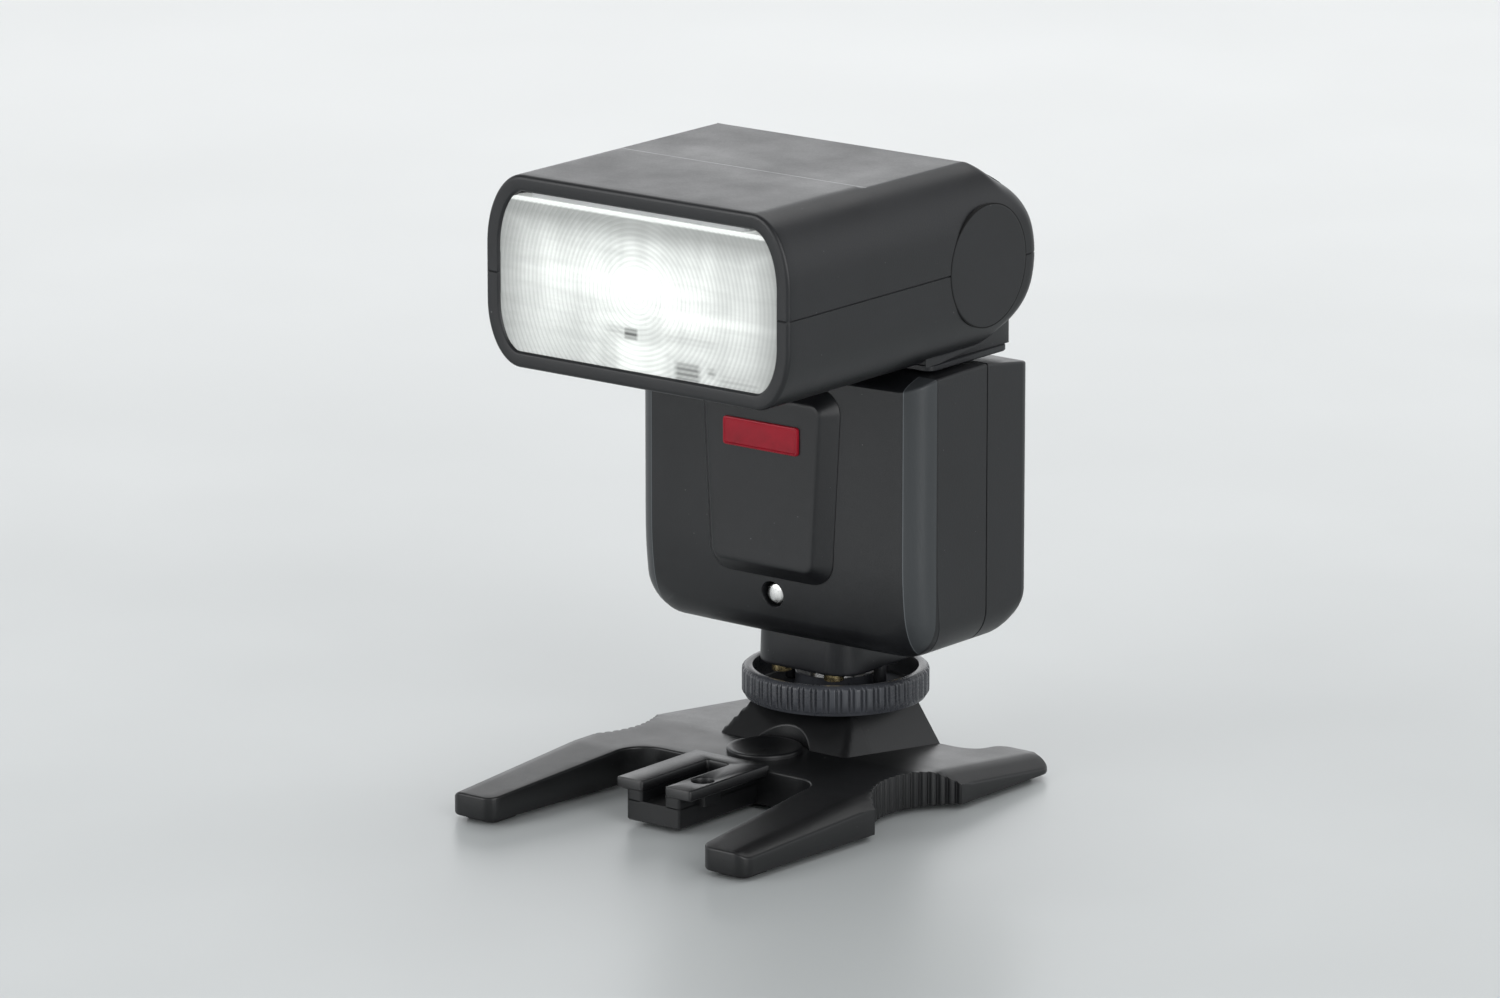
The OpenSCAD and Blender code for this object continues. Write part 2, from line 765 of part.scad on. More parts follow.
module tripod_bush() {
    color("#b08d45") at_shoe() difference() {
        bar_z(bush_d, pad_h, bush_top, 0, -boss_y);
        bar_z(tripod_d, 0, plate_top, 0, -boss_y);
    }
}

// Foot of the flash

module at_contacts() {
    children();
    for (sx = [-1, 1], sy = [-1, 1])
        translate([sx * contact_pitch_x / 2, sy * contact_pitch_y / 2, 0]) children();
}

module shoe_plate() {
    color("#8d9094") at_shoe() difference() {
        union() {
            translate([0, 0, shoe_z0]) linear_extrude(shoe_t) round_rect(shoe_w, shoe_l, 1);
            block(-stem_w / 2, stem_w / 2, -stem_l / 2, stem_l / 2, shoe_z1 - eps, ring_z0 - touch);
            bar_z(column_d, shoe_z1 - eps, neck_z0);
        }
        at_contacts() bar_z(contact_d + 2 * fit_run, 0, contact_top);
        bar_z(lock_pin_d + 2 * fit_run, 0, ring_z0, 0, -lock_pin_y);
    }
}

module shoe_contacts() {
    color("#c9a24a") at_shoe() at_contacts() bar_z(contact_d, socket_floor + touch, contact_top);
}

module lock_pin() {
    color("#a9adb2") at_shoe()
        bar_z(lock_pin_d, shoe_z0 + lock_pin_travel + touch, ring_z0 - touch, 0, -lock_pin_y);
}

module lock_ring() {
    r = ring_d / 2;
    color("#222326") at_shoe() difference() {
        rotate_extrude() polygon([
            [ring_bore, ring_z0],
            [r, ring_z0],
            [r, ring_z1],
            [r - ring_rim, ring_z1],
            [r - ring_rim, ring_z0 + ring_floor],
            [hub_r, ring_z0 + ring_floor],
            [hub_r, ring_z1 - over],
            [ring_bore, ring_z1 - over]
        ]);
        for (i = [0:ring_grooves - 1])
            rotate([0, 0, 360 * i / ring_grooves])
                translate([r + ring_groove_r / 3, 0, ring_z0 + ring_lip])
                    cylinder(r = ring_groove_r, h = ring_h, $fn = 16);
    }
}

module at_foot_screws() {
    for (sx = [-1, 1], sy = [-1, 1])
        translate([sx * foot_screw_x / 2, sy * foot_screw_y / 2, 0]) children();
}

module foot_neck() {
    color("#202124") at_shoe() difference() {
        union() {
            translate([0, 0, neck_z0]) linear_extrude(neck_h) round_rect(neck_w, neck_l, neck_r);
            for (s = [-1, 1])
                bar_z(post_d, ring_z0 + ring_floor + gap, neck_z0 + over, s * (neck_w / 2), 0);
        }
        at_foot_screws() bar_z(foot_screw_d + 2 * fit_run, 0, body_top);
    }
}

module foot_screws() {
    color("#b9a36a") at_shoe() at_foot_screws() {
        bar_z(foot_head_d, neck_z0 - foot_head_h, neck_z0);
        bar_z(foot_screw_d, neck_z0 - eps, foot_tip_z);
    }
}

// Body shells

module body_plan(inset) {
    intersection() {
        union() {
            translate([-body_half + inset, -body_edge + corner_r])
                square([body_w - 2 * inset, body_edge - corner_r + body_rear - rear_r]);
            translate([-front_half - front_lap, -body_front - over])
                square([2 * (front_half + front_lap), body_front + over]);
            translate([-body_half + rear_r, 0]) square([body_w - 2 * rear_r, body_rear - inset]);
            for (s = [-1, 1]) {
                translate([s * front_half, -body_edge + corner_r]) circle(r = corner_r - inset);
                translate([s * (body_half - rear_r), body_rear - rear_r]) circle(r = rear_r - inset);
            }
        }
        translate([0, front_arc - body_front]) circle(r = front_arc - inset, $fn = 360);
    }
}

module body_elevation(inset) {
    low = body_bottom + bottom_r;
    top = body_top + over;
    translate([-body_half + inset, low]) square([body_w - 2 * inset, top - low]);
    translate([-body_half + bottom_r, body_bottom + inset])
        square([body_w - 2 * bottom_r, top - body_bottom - inset]);
    for (s = [-1, 1])
        translate([s * (body_half - bottom_r), low]) circle(r = bottom_r - inset);
}

module body_side(inset) {
    front = -body_front - over;
    low = body_bottom + heel_r;
    polygon([
        [front, low],
        [body_rear - inset, low],
        [body_rear - inset, body_top - rear_drop - inset],
        [seam_y, body_top - inset],
        [-top_flat, body_top - inset],
        [front, body_top - front_drop - inset]
    ]);
    translate([front, body_bottom + inset])
        square([body_rear - heel_r - front, low - body_bottom - inset + eps]);
    translate([body_rear - heel_r, low]) circle(r = heel_r - inset);
}

module body_form(inset) {
    intersection() {
        translate([0, 0, body_bottom - over]) linear_extrude(body_h + 2 * over) body_plan(inset);
        along_y(-body_front - over, body_rear + over) body_elevation(inset);
        along_x(-body_half - over, body_half + over) body_side(inset);
    }
}

module door_zone(clear, z0) {
    block(-body_half - over, -body_half + door_wrap, door_y0 + clear, door_y1 - clear, z0, door_z1 - clear);
}

module body_shell() {
    difference() {
        union() {
            difference() {
                body_form(0);
                body_form(wall);
            }
            intersection() {
                body_form(wall / 2);
                block(-body_half, -body_half + wall + frame_t, door_y0 - over, door_y1 + over,
                      body_bottom, door_z1 + over);
            }
            intersection() {
                body_form(wall / 2);
                bar_z(clip_d + 2, bearing_z0, body_top + over);
            }
            bar_y(case_hole_d + 2, -body_edge, cradle_y0 - touch, 0, case_z);
        }
        difference() {
            door_zone(0, body_bottom - over);
            body_form(door_t + fit_slide);
        }
        block(-body_half - over, cell_x0, door_y0 + gap, door_y1 - gap, cradle_z0, cradle_z1);
        bar_z(swivel_d + 2 * fit_run, bearing_z0 - over, body_top + over);
        bar_y(case_hole_d, -body_front - over, case_seat_y, 0, case_z);
        bar_y(case_screw_d + 2 * fit_run, -body_front, 0, 0, case_z);
        at_foot_screws() bar_z(foot_screw_d + 2 * fit_run, 0, foot_tip_z);
        along_y(body_rear - 2 * wall, body_rear + over) translate([0, control_z])
            round_rect(control_pocket_w, control_pocket_h, control_pocket_r);
    }
}

module front_shell() {
    color("#17181a") at_shoe() intersection() {
        body_shell();
        block(-far, far, -far, seam_y, 0, 2 * far);
    }
}

module rear_shell() {
    color("#17181a") at_shoe() intersection() {
        body_shell();
        block(-far, far, seam_y, far, 0, 2 * far);
    }
}

// Front panel outline: a tapered plate with round corners, widened by a margin
module panel_plate(y, margin) {
    for (s = [-1, 1]) {
        bar_y(2 * panel_r, y, y + touch, s * (panel_top_w / 2 + margin - panel_r), panel_z1 + margin - panel_r);
        bar_y(2 * panel_r, y, y + touch, s * (panel_low_w / 2 + margin - panel_r), panel_z0 - margin + panel_r);
    }
}

module front_panel() {
    color("#1b1c1f") at_shoe() difference() {
        hull($fn = 32) {
            panel_plate(panel_y, 0);
            panel_plate(-body_edge, panel_slope * (-body_edge - panel_y) / panel_out);
        }
        body_form(0);
    }
}

module badge() {
    color("#96233a") at_shoe() along_y(panel_y - badge_out, panel_y)
        translate([0, badge_z1 - badge_h / 2]) round_rect(badge_w, badge_h, badge_r);
}

module case_screw() {
    color("#c9cbcd") at_shoe() {
        bar_y(case_hole_d - 1, case_seat_y - case_head_h, case_seat_y, 0, case_z);
        bar_y(case_screw_d, case_seat_y - eps, cradle_y0 + case_grip, 0, case_z);
    }
}

// Power

module at_cells() {
    for (iy = [0, 1], iz = [0, 1])
        translate([0, cell_y + iy * cell_pitch, cell_z + iz * cell_pitch]) children();
}

module battery_cradle() {
    color("#2d2e31") at_shoe() difference() {
        block(cell_x0, cradle_x1, cradle_y0, cradle_y1, cradle_z0, cradle_z1);
        at_cells() bar_x(cell_bore, cell_x0 - over, cell_x1 + contact_plate_t + touch, 0, 0);
        bar_y(case_screw_d + 2 * fit_run, cradle_y0 - over, cradle_y0 + case_grip, 0, case_z);
    }
}

module battery_cells() {
    color("#c58a3b") at_shoe() at_cells() {
        bar_x(cell_d, cell_x0, cell_x1 - cell_nub, 0, 0);
        bar_x(cell_d / 3, cell_x1 - cell_nub - eps, cell_x1, 0, 0);
    }
}

module battery_contacts() {
    color("#b5b8bb") at_shoe() at_cells()
        bar_x(cell_d - 2 * contact_rim, cell_x1, cell_x1 + contact_plate_t, 0, 0);
}

module battery_door() {
    color("#18191b") at_shoe() intersection() {
        difference() {
            body_form(0);
            body_form(door_t);
        }
        door_zone(fit_slide, door_z0);
    }
}

module door_contacts() {
    x0 = -body_half + door_t;
    color("#b5b8bb") at_shoe() {
        block(x0, x0 + contact_plate_t, cell_y - door_spring_d, cell_y + cell_pitch + door_spring_d,
              door_plate_z0, cell_z + cell_pitch + door_spring_d);
        at_cells() bar_x(door_spring_d, x0 + contact_plate_t - eps, cell_x0 - touch, 0, 0);
    }
}

module main_board() {
    color("#1f5a34") at_shoe()
        block(main_board_x0, main_board_x0 + board_t, cradle_y0 + 2, cradle_y1 - 2,
              cradle_z0, bearing_z0 - 2);
}

module main_capacitor() {
    color("#24262b") at_shoe()
        bar_x(capacitor_d, capacitor_x1 - capacitor_l, capacitor_x1, capacitor_y, capacitor_z);
}

module transformer() {
    color("#6b4a2a") at_shoe()
        block(cradle_x1 - transformer_w, cradle_x1, capacitor_y - transformer_w / 2,
              capacitor_y + transformer_w / 2, cradle_z1 + touch, cradle_z1 + transformer_w);
}

// Controls

module button_hole(w, h) {
    along_y(control_in_y - over, control_y1 + over) round_rect(w + 2 * fit_slide, h + 2 * fit_slide, h / 4);
}

module button_place(i) {
    translate([(i - 1.5) * button_pitch, 0, button_z]) children();
}

module control_panel() {
    color("#1a1b1e") at_shoe() difference() {
        along_y(body_rear, control_y1) translate([0, control_z]) round_rect(control_w, control_h, control_r);
        along_y(body_rear - over, control_in_y) translate([0, control_z])
            round_rect(control_pocket_w, control_pocket_h, control_pocket_r);
        translate([0, 0, display_z]) button_hole(display_w, display_h);
        for (i = [0:3]) button_place(i) button_hole(button_w, button_h);
        bar_y(test_d + 2 * fit_slide, body_rear, control_y1 + over, test_x, switch_z);
        bar_y(lamp_d + 2 * fit_run, body_rear, control_y1 + over, lamp_x, switch_z);
        translate([switch_x + switch_travel / 2, 0, switch_z]) button_hole(switch_w + switch_travel, switch_h);
    }
}

module control_board() {
    color("#1f5a34") at_shoe() along_y(board_y1 - board_t, board_y1) translate([0, control_z])
        round_rect(control_pocket_w - 2 * gap, control_pocket_h - 2 * gap, control_pocket_r - gap);
}

module display_module() {
    color("#5c6b58") at_shoe() along_y(board_y1, control_in_y - touch) translate([0, display_z])
        round_rect(display_w + 2 * flange_w, display_h + 2 * flange_w, flange_w);
}

module display_window() {
    color("#39443a") at_shoe() along_y(control_in_y - touch, control_y1) translate([0, display_z])
        round_rect(display_w, display_h, display_h / 4);
}

module ready_lamp() {
    color("#b34a2c") at_shoe() bar_y(lamp_d, board_y1, control_y1 + touch, lamp_x, switch_z);
}

module key(w, h) {
    along_y(flange_y1 - eps, button_y1) round_rect(w, h, h / 4);
    along_y(flange_y0, flange_y1) round_rect(w + 2 * flange_w, h + 2 * flange_w, h / 4);
}

module function_button(i) {
    color("#3a3b3e") at_shoe() button_place(i) key(button_w, button_h);
}

module button_mode() {
    function_button(0);
}

module button_zoom() {
    function_button(1);
}

module button_minus() {
    function_button(2);
}

module button_plus() {
    function_button(3);
}

module test_button() {
    color("#55575b") at_shoe() {
        bar_y(test_d, flange_y1 - eps, button_y1, test_x, switch_z);
        bar_y(test_d + 2 * flange_w, flange_y0, flange_y1, test_x, switch_z);
    }
}

module power_switch() {
    color("#2f3033") at_shoe() translate([switch_x, 0, switch_z]) key(switch_w, switch_h);
}

// Head joint

module turret() {
    half = turret_w / 2;
    color("#191a1c") at_shoe() difference() {
        union() {
            bar_x(2 * drum_r, -half, half, 0, tilt_z);
            block(-half, half, -turret_front, turret_rear, turret_z0, tilt_z);
            bar_z(swivel_d, swivel_z0, turret_z0 + over);
        }
        bar_x(2 * (drum_r - turret_wall), -tilt_pin_x0 - eps, tilt_pin_x0 + eps, 0, tilt_z);
        block(-half + turret_wall, half - turret_wall, -turret_front + turret_wall, turret_rear - turret_wall,
              turret_z0 + turret_wall, tilt_z - tilt_pin_d);
        bar_x(tilt_pin_d + 2 * fit_run, -half - over, half + over, 0, tilt_z);
        bar_z(swivel_d - 2 * swivel_wall, swivel_z0 - over, tilt_z);
        difference() {
            bar_z(swivel_d + over, clip_z0 - touch, clip_z1 + touch);
            bar_z(groove_d, clip_z0 - over, clip_z1 + over);
        }
    }
}

module turret_base() {
    color("#141517") at_shoe() difference() {
        block(-turret_w / 2, turret_w / 2, -turret_front, turret_rear, body_top + gap, turret_z0);
        bar_z(swivel_d + 2 * fit_run, body_top, turret_z0 + over);
    }
}

module swivel_clip() {
    color("#9ea2a6") at_shoe() difference() {
        bar_z(clip_d, clip_z0, clip_z1);
        bar_z(groove_d + 2 * fit_run, clip_z0 - over, clip_z1 + over);
    }
}

module tilt_pins() {
    color("#9ea2a6") at_shoe() on_both_sides() bar_x(tilt_pin_d, tilt_pin_x0, tilt_pin_x1, 0, tilt_z);
}

// Head

module head_profile(inset, half = head_half) {
    translate([-half + inset, -head_down + head_low_r])
        square([2 * (half - inset), head_up - head_top_r + head_down - head_low_r]);
    translate([-half + head_top_r, 0]) square([2 * (half - head_top_r), head_up - inset]);
    translate([-half + head_low_r, -head_down + inset]) square([2 * (half - head_low_r), head_down]);
    for (s = [-1, 1]) {
        translate([s * (half - head_top_r), head_up - head_top_r]) circle(r = head_top_r - inset);
        translate([s * (half - head_low_r), -head_down + head_low_r]) circle(r = head_low_r - inset);
    }
}

module head_side() {
    polygon([
        [-head_front, -head_down - over],
        [-ear_run, -head_down - over],
        [-ear_run, -head_down],
        [0, -ear_r],
        [0, 0],
        [deck_rear, 0],
        [deck_rear, head_up + over],
        [-head_front, head_up + over]
    ]);
    circle(r = ear_r);
}

module head_form() {
    intersection() {
        union() {
            along_y(-head_front - over, ear_y0) head_profile(0);
            along_y(ear_y0, ear_r + over) head_profile(0, ear_half);
        }
        along_x(-far, far) head_side();
    }
    block(-deck_half_w, deck_half_w, -crease_y, deck_rear, head_up - deck_t, head_up);
}

module head_hollow() {
    opening_mid = (opening_up - opening_down) / 2;
    along_y(rim_y, -drum_clear) head_profile(wall);
    intersection() {
        along_y(-drum_clear - eps, deck_rear - deck_wall) head_profile(wall, ear_half);
        block(-ear_in, ear_in, -far, far, -far, far);
    }
    block(-ear_in, ear_in, -drum_clear, far, -far, drum_clear);
    along_y(-head_front - over, rim_y + eps) translate([0, opening_mid])
        round_rect(2 * opening_half, opening_up + opening_down, rim_r);
    block(-wide_w / 2 - fit_slide, wide_w / 2 + fit_slide, -head_front - over, rim_y + eps,
          wide_z0 - fit_slide, wide_z1 + fit_slide / 2);
    on_both_sides() {
        bar_x(tilt_pin_d + 2 * fit_run, ear_in - over, ear_half, 0, 0);
        bar_x(cap_d + 2 * fit_slide, ear_half - cap_t - touch, ear_half + over, 0, 0);
    }
}

module head_bosses() {
    on_both_sides() bar_z(head_boss_d, -head_down + wall / 2, head_up - wall / 2, head_screw_x, head_boss_y);
    intersection() {
        along_y(rib_y0, -drum_clear) head_profile(wall / 2);
        block(-far, far, -far, far, -head_down, -rod_drop + rod_d);
    }
}

module head_shell() {
    difference() {
        union() {
            difference() {
                head_form();
                head_hollow();
            }
            head_bosses();
        }
        at_rods() bar_y(rod_d + 2 * fit_run, -head_front, 0, 0, 0);
        on_both_sides() {
            bar_z(head_screw_d + 2 * fit_run, -head_down - over, head_up / 2, head_screw_x, head_boss_y);
            bar_z(head_screw_head_d + 2 * fit_slide, -head_down - over, -head_down + head_screw_head_h + gap,
                  head_screw_x, head_boss_y);
        }
    }
}

module head_upper_shell() {
    color("#15161a") at_tilt() intersection() {
        head_shell();
        block(-far, far, -2 * far, far, 0, far);
    }
}

module head_lower_shell() {
    color("#15161a") at_tilt() intersection() {
        head_shell();
        block(-far, far, -2 * far, far, -far, 0);
    }
}

module pivot_caps() {
    color("#1b1c1f") at_tilt() on_both_sides() bar_x(cap_d, ear_half - cap_t, ear_half, 0, 0);
}

module fresnel_lens() {
    color("#dfe6ea") at_tilt() intersection() {
        along_y(rim_y + touch, lens_y1) head_profile(wall + fit_slide);
        block(-far, far, -2 * far, far, -far, tray_z1);
    }
}

module wide_panel() {
    color("#eef1f3") at_tilt()
        block(-wide_w / 2, wide_w / 2, -head_front + wide_set, -head_front + wide_set + wide_l, wide_z0, wide_z1);
}

module panel_tray() {
    half = head_in_x(tray_z1) - fit_slide;
    color("#303135") at_tilt() block(-half, half, lens_y1 + touch, tray_y1, tray_z0, tray_z1);
}

// Zoom unit

module at_rods() {
    for (s = [-1, 1])
        translate([s * rod_x, 0, -rod_drop]) children();
}

module outer_trough() {
    polygon(parabola(outer_f, vertex_y + reflector_t, outer_h));
}

module reflector() {
    half = reflector_w / 2;
    color("#d9dcde") at_tilt() difference() {
        along_x(-half, half) outer_trough();
        along_x(-half + reflector_t, half - reflector_t) polygon(concat(
            parabola(reflector_f, vertex_y, reflector_h),
            [[reflector_y0 - over, reflector_h], [reflector_y0 - over, -reflector_h]]
        ));
        bar_x(tube_d + 2 * fit_run, -half - over, half + over, tube_y, 0);
    }
}

module flash_tube() {
    color("#f1efe6") at_tilt() bar_x(tube_d, -tube_l / 2, tube_l / 2, tube_y, 0);
}

module zoom_carriage() {
    arm_x1 = rod_x + rod_d / 2 + carriage_wall;
    arm_z0 = -rod_drop - rod_d / 2 - carriage_wall;
    color("#2c2d31") at_tilt() difference() {
        union() {
            block(-carriage_half, carriage_half, vertex_y - carriage_grip, carriage_y1, -carriage_h, carriage_h);
            block(-arm_x1, arm_x1, vertex_y + reflector_t + touch, carriage_y1, arm_z0, -carriage_h + over);
        }
        along_x(-far, far) outer_trough();
        at_rods() bar_y(rod_d + 2 * fit_run, -far, 0, 0, 0);
        bar_y(lead_d + 2 * fit_run, -far, 0, lead_x, -rod_drop);
    }
}

module guide_rods() {
    color("#b9bcc0") at_tilt() at_rods() bar_y(rod_d, lens_y1 + touch, -drum_clear - touch, 0, 0);
}

module lead_screw() {
    color("#b9bcc0") at_tilt() bar_y(lead_d, lens_y1 + touch, motor_y0 - touch, lead_x, -rod_drop);
}

module zoom_motor() {
    color("#8f9398") at_tilt() bar_y(motor_d, motor_y0, rib_y0, lead_x, -rod_drop);
}

module trigger_board() {
    color("#1f5a34") at_tilt()
        block(-carriage_half, carriage_half, tray_y1 - 2 * carriage_h, tray_y1, tray_z0 - touch - board_t,
              tray_z0 - touch);
}

module head_screws() {
    z0 = -head_down + gap;
    color("#9ea2a6") at_tilt() on_both_sides() {
        bar_z(head_screw_head_d, z0, z0 + head_screw_head_h, head_screw_x, head_boss_y);
        bar_z(head_screw_d, z0 + head_screw_head_h - eps, head_up / 2 - over, head_screw_x, head_boss_y);
    }
}

stand_base();
stand_pads();
tripod_bush();
shoe_plate();
shoe_contacts();
lock_pin();
lock_ring();
foot_neck();
foot_screws();
front_shell();
rear_shell();
front_panel();
badge();
case_screw();
battery_cradle();
battery_cells();
battery_contacts();
battery_door();
door_contacts();
main_board();
main_capacitor();
transformer();
control_panel();
control_board();
display_module();
display_window();
ready_lamp();
button_mode();
button_zoom();
button_minus();
button_plus();
test_button();
power_switch();
turret();
turret_base();
swivel_clip();
tilt_pins();
head_upper_shell();
head_lower_shell();
pivot_caps();
fresnel_lens();
wide_panel();
panel_tray();
reflector();
flash_tube();
zoom_carriage();
guide_rods();
lead_screw();
zoom_motor();
trigger_board();
head_screws();
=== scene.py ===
"""Looks of a speedlight flash on its table stand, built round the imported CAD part."""

import json
import math

import bmesh
import bpy
import numpy as np
from bpy.props import FloatProperty, FloatVectorProperty, IntProperty, PointerProperty
from bpy.types import NodeSocket, Operator, Panel, PropertyGroup
from mathutils import Matrix, Vector
from mathutils.geometry import delaunay_2d_cdt

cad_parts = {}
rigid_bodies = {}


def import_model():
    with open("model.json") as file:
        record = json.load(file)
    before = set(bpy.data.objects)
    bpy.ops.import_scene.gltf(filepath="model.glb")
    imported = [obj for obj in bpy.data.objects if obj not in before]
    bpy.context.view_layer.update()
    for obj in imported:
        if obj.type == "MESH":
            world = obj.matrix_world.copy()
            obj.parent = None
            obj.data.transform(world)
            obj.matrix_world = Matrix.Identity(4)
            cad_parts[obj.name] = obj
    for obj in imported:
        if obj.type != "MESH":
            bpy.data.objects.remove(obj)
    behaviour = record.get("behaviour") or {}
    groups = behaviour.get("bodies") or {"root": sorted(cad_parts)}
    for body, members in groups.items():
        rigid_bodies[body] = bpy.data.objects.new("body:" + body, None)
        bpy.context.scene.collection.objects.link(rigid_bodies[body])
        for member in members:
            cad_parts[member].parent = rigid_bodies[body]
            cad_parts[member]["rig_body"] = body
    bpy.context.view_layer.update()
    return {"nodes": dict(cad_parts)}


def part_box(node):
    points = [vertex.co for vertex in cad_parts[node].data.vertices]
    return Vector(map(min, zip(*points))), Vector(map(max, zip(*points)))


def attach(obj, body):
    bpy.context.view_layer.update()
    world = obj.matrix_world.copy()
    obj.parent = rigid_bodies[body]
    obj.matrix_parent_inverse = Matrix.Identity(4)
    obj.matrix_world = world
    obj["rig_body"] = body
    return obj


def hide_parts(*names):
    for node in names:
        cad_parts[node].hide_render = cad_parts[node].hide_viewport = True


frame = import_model()

bl_info = {
    "name": "Speedlight flash",
    "version": (1, 0, 0),
    "blender": (4, 5, 0),
    "location": "View3D > Sidebar > Flash",
    "description": "Builds the finished surfaces of a speedlight flash and its table stand",
    "category": "Object",
}

MM = 0.001


def span(node):
    """Lowest and highest corner of a CAD node, in millimetres."""
    low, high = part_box(node)
    return np.array(low) / MM, np.array(high) / MM


def middle(node):
    """Middle of a CAD node's box, in millimetres."""
    low, high = span(node)
    return (low + high) / 2


# The shoe's upright axis, the tilt axis, and the corners of the head (from the tilt axis) and of the body
SHOE_Y = middle("lock_ring")[1]
TILT = middle("pivot_caps")
HEAD_LOW = span("head_lower_shell")[0] - TILT
HEAD_HIGH = span("head_upper_shell")[1] - TILT
BODY_LOW = span("front_shell")[0]
BODY_HIGH = span("rear_shell")[1]


# Sizes and colours


def length(name, default_mm, description):
    """Property for a length, with its default in millimetres."""
    return FloatProperty(name=name, description=description, default=default_mm * MM,
                         min=0.0, unit="LENGTH", subtype="DISTANCE")


def colour(name, default, description):
    """Property for a linear colour."""
    return FloatVectorProperty(name=name, description=description, default=default,
                               size=3, min=0.0, max=1.0, subtype="COLOR")


class FlashSizes(PropertyGroup):
    """Sizes of the finish. The frame gives every other size."""

    seam: length("Seam", 0.2, "Depth of the groove where two shells meet")
    rim_round: length("Rim rounding", 0.9, "Rounding of the lens rim's outer edge")
    deck_half: length("Deck half width", 30.0, "Half width of the flat panel on top of the head")
    crease: length("Crease", 30.0, "Distance from the tilt axis forward to the crease on the head")
    ear_round: length("Ear rounding", 3.0, "Rounding round the outside of the head's ears")
    groove_pitch: length("Lens groove pitch", 1.0, "Spacing of the ring grooves in the lens")
    groove_depth: length("Lens groove depth", 0.07, "Depth of the ring grooves in the lens")
    edge: length("Edge rounding", 0.35, "Rounding of the moulded edges")
    tooth_depth: length("Grip depth", 0.5, "Depth of the grooves round the lock ring")
    teeth: IntProperty(name="Grip grooves", description="Number of grooves round the lock ring",
                       default=46, min=12, max=120)


class FlashColours(PropertyGroup):
    """Colours of the finish."""

    case: colour("Case", (0.0100, 0.0106, 0.0122), "Plastic of the body and the head")
    # The corner strip's colour is painted sheen: lighter than the case, for the light on the round corners.
    strip: colour("Corner strip", (0.052, 0.057, 0.061), "Plastic of the body's round corners")
    # The stand's colour is darker than the case's: painted shade, for the dark body its top reflects.
    stand: colour("Stand", (0.0065, 0.0068, 0.0075), "Plastic of the stand")
    badge: colour("Badge", (0.40, 0.010, 0.026), "Lacquer of the badge")
    lens: colour("Lens", (0.90, 0.925, 0.90), "Clear plastic of the lens")
    floor: colour("Floor", (0.57, 0.595, 0.595), "Floor under the stand")
    # The far floor's lighter colour is painted light, for the fall of the lamps' light over the floor.
    far_floor_light: colour("Backdrop", (0.84, 0.855, 0.85), "Floor far behind the stand")


def size(name):
    """A length of the finish, in millimetres."""
    return getattr(bpy.context.scene.flash_sizes, name) / MM


# Meshes

POLE = 0.02
SHARP_ANGLE = 32.0
FLAT_ANGLE = 0.6
RELIEF_FOOT = 0.3


def around(count):
    """Even angles round a full turn."""
    return np.linspace(0, 2 * np.pi, count, endpoint=False)


def corners(points, radii, steps=8):
    """Closed outline of straight runs with round corners: each arc is tangent to both of its runs."""
    p = np.asarray(points, float)
    u = np.roll(p, 1, 0) - p
    v = np.roll(p, -1, 0) - p
    u /= np.linalg.norm(u, axis=1)[:, None]
    v /= np.linalg.norm(v, axis=1)[:, None]
    half = np.arccos(np.clip((u * v).sum(1), -1, 1)) / 2
    r = np.broadcast_to(np.asarray(radii, float), len(p))
    reach = (r / np.tan(half))[:, None]
    bisector = (u + v) / np.linalg.norm(u + v, axis=1)[:, None]
    centre = p + bisector * (r / np.sin(half))[:, None]
    turn = (np.pi - 2 * half)[:, None]
    k = np.linspace(0, 1, steps + 1)[None, :]
    w0 = (np.sin((1 - k) * turn) / np.sin(turn))[..., None]
    w1 = (np.sin(k * turn) / np.sin(turn))[..., None]
    arcs = centre[:, None] + w0 * (p + u * reach - centre)[:, None] + w1 * (p + v * reach - centre)[:, None]
    return arcs.reshape(-1, 2)


def rectangle(x0, x1, y0, y1, radius, steps=8):
    """Counter-clockwise rectangle with round corners."""
    return corners([(x1, y0), (x1, y1), (x0, y1), (x0, y0)], radius, steps)


def circle(radius, count, x, y, clockwise=False):
    """Round outline about a point."""
    a = around(count) * (-1 if clockwise else 1)
    return np.stack([x + radius * np.cos(a), y + radius * np.sin(a)], 1)


def arc(x, y, r, start, end, count=10):
    """Points along a circle between two angles in degrees."""
    a = np.radians(np.linspace(start, end, count))
    return np.stack([x + r * np.cos(a), y + r * np.sin(a)], 1)


def round_in(over, radius):
    """How far a quarter circle has turned in at a distance past its start."""
    over = np.clip(over, 0, radius)
    return radius - np.sqrt(radius ** 2 - over ** 2)


def soft_least(a, b, blend):
    """The lesser of two heights, with the edge between them rounded over a blend."""
    return (a + b - np.sqrt((a - b) ** 2 + blend ** 2)) / 2


def smooth_step(x):
    """0 below 0, 1 above 1 and a smooth cubic between."""
    k = np.clip(x, 0, 1)
    return k * k * (3 - 2 * k)


def outward(loop):
    """Unit normals of a counter-clockwise outline, square to the chord between each point's neighbours."""
    t = np.roll(loop, -1, 0) - np.roll(loop, 1, 0)
    n = np.stack([t[:, 1], -t[:, 0]], 1)
    return n / np.linalg.norm(n, axis=1)[:, None]


def quads(rows, cols, first=0, ring=True):
    """Faces between neighbouring points of a grid whose rows close on themselves if ring is set."""
    c = np.arange(cols if ring else cols - 1)
    a = first + np.arange(rows - 1)[:, None] * cols + c
    b = first + np.arange(rows - 1)[:, None] * cols + (c + 1) % cols
    return np.stack([a, b, b + cols, a + cols], -1).reshape(-1, 4)


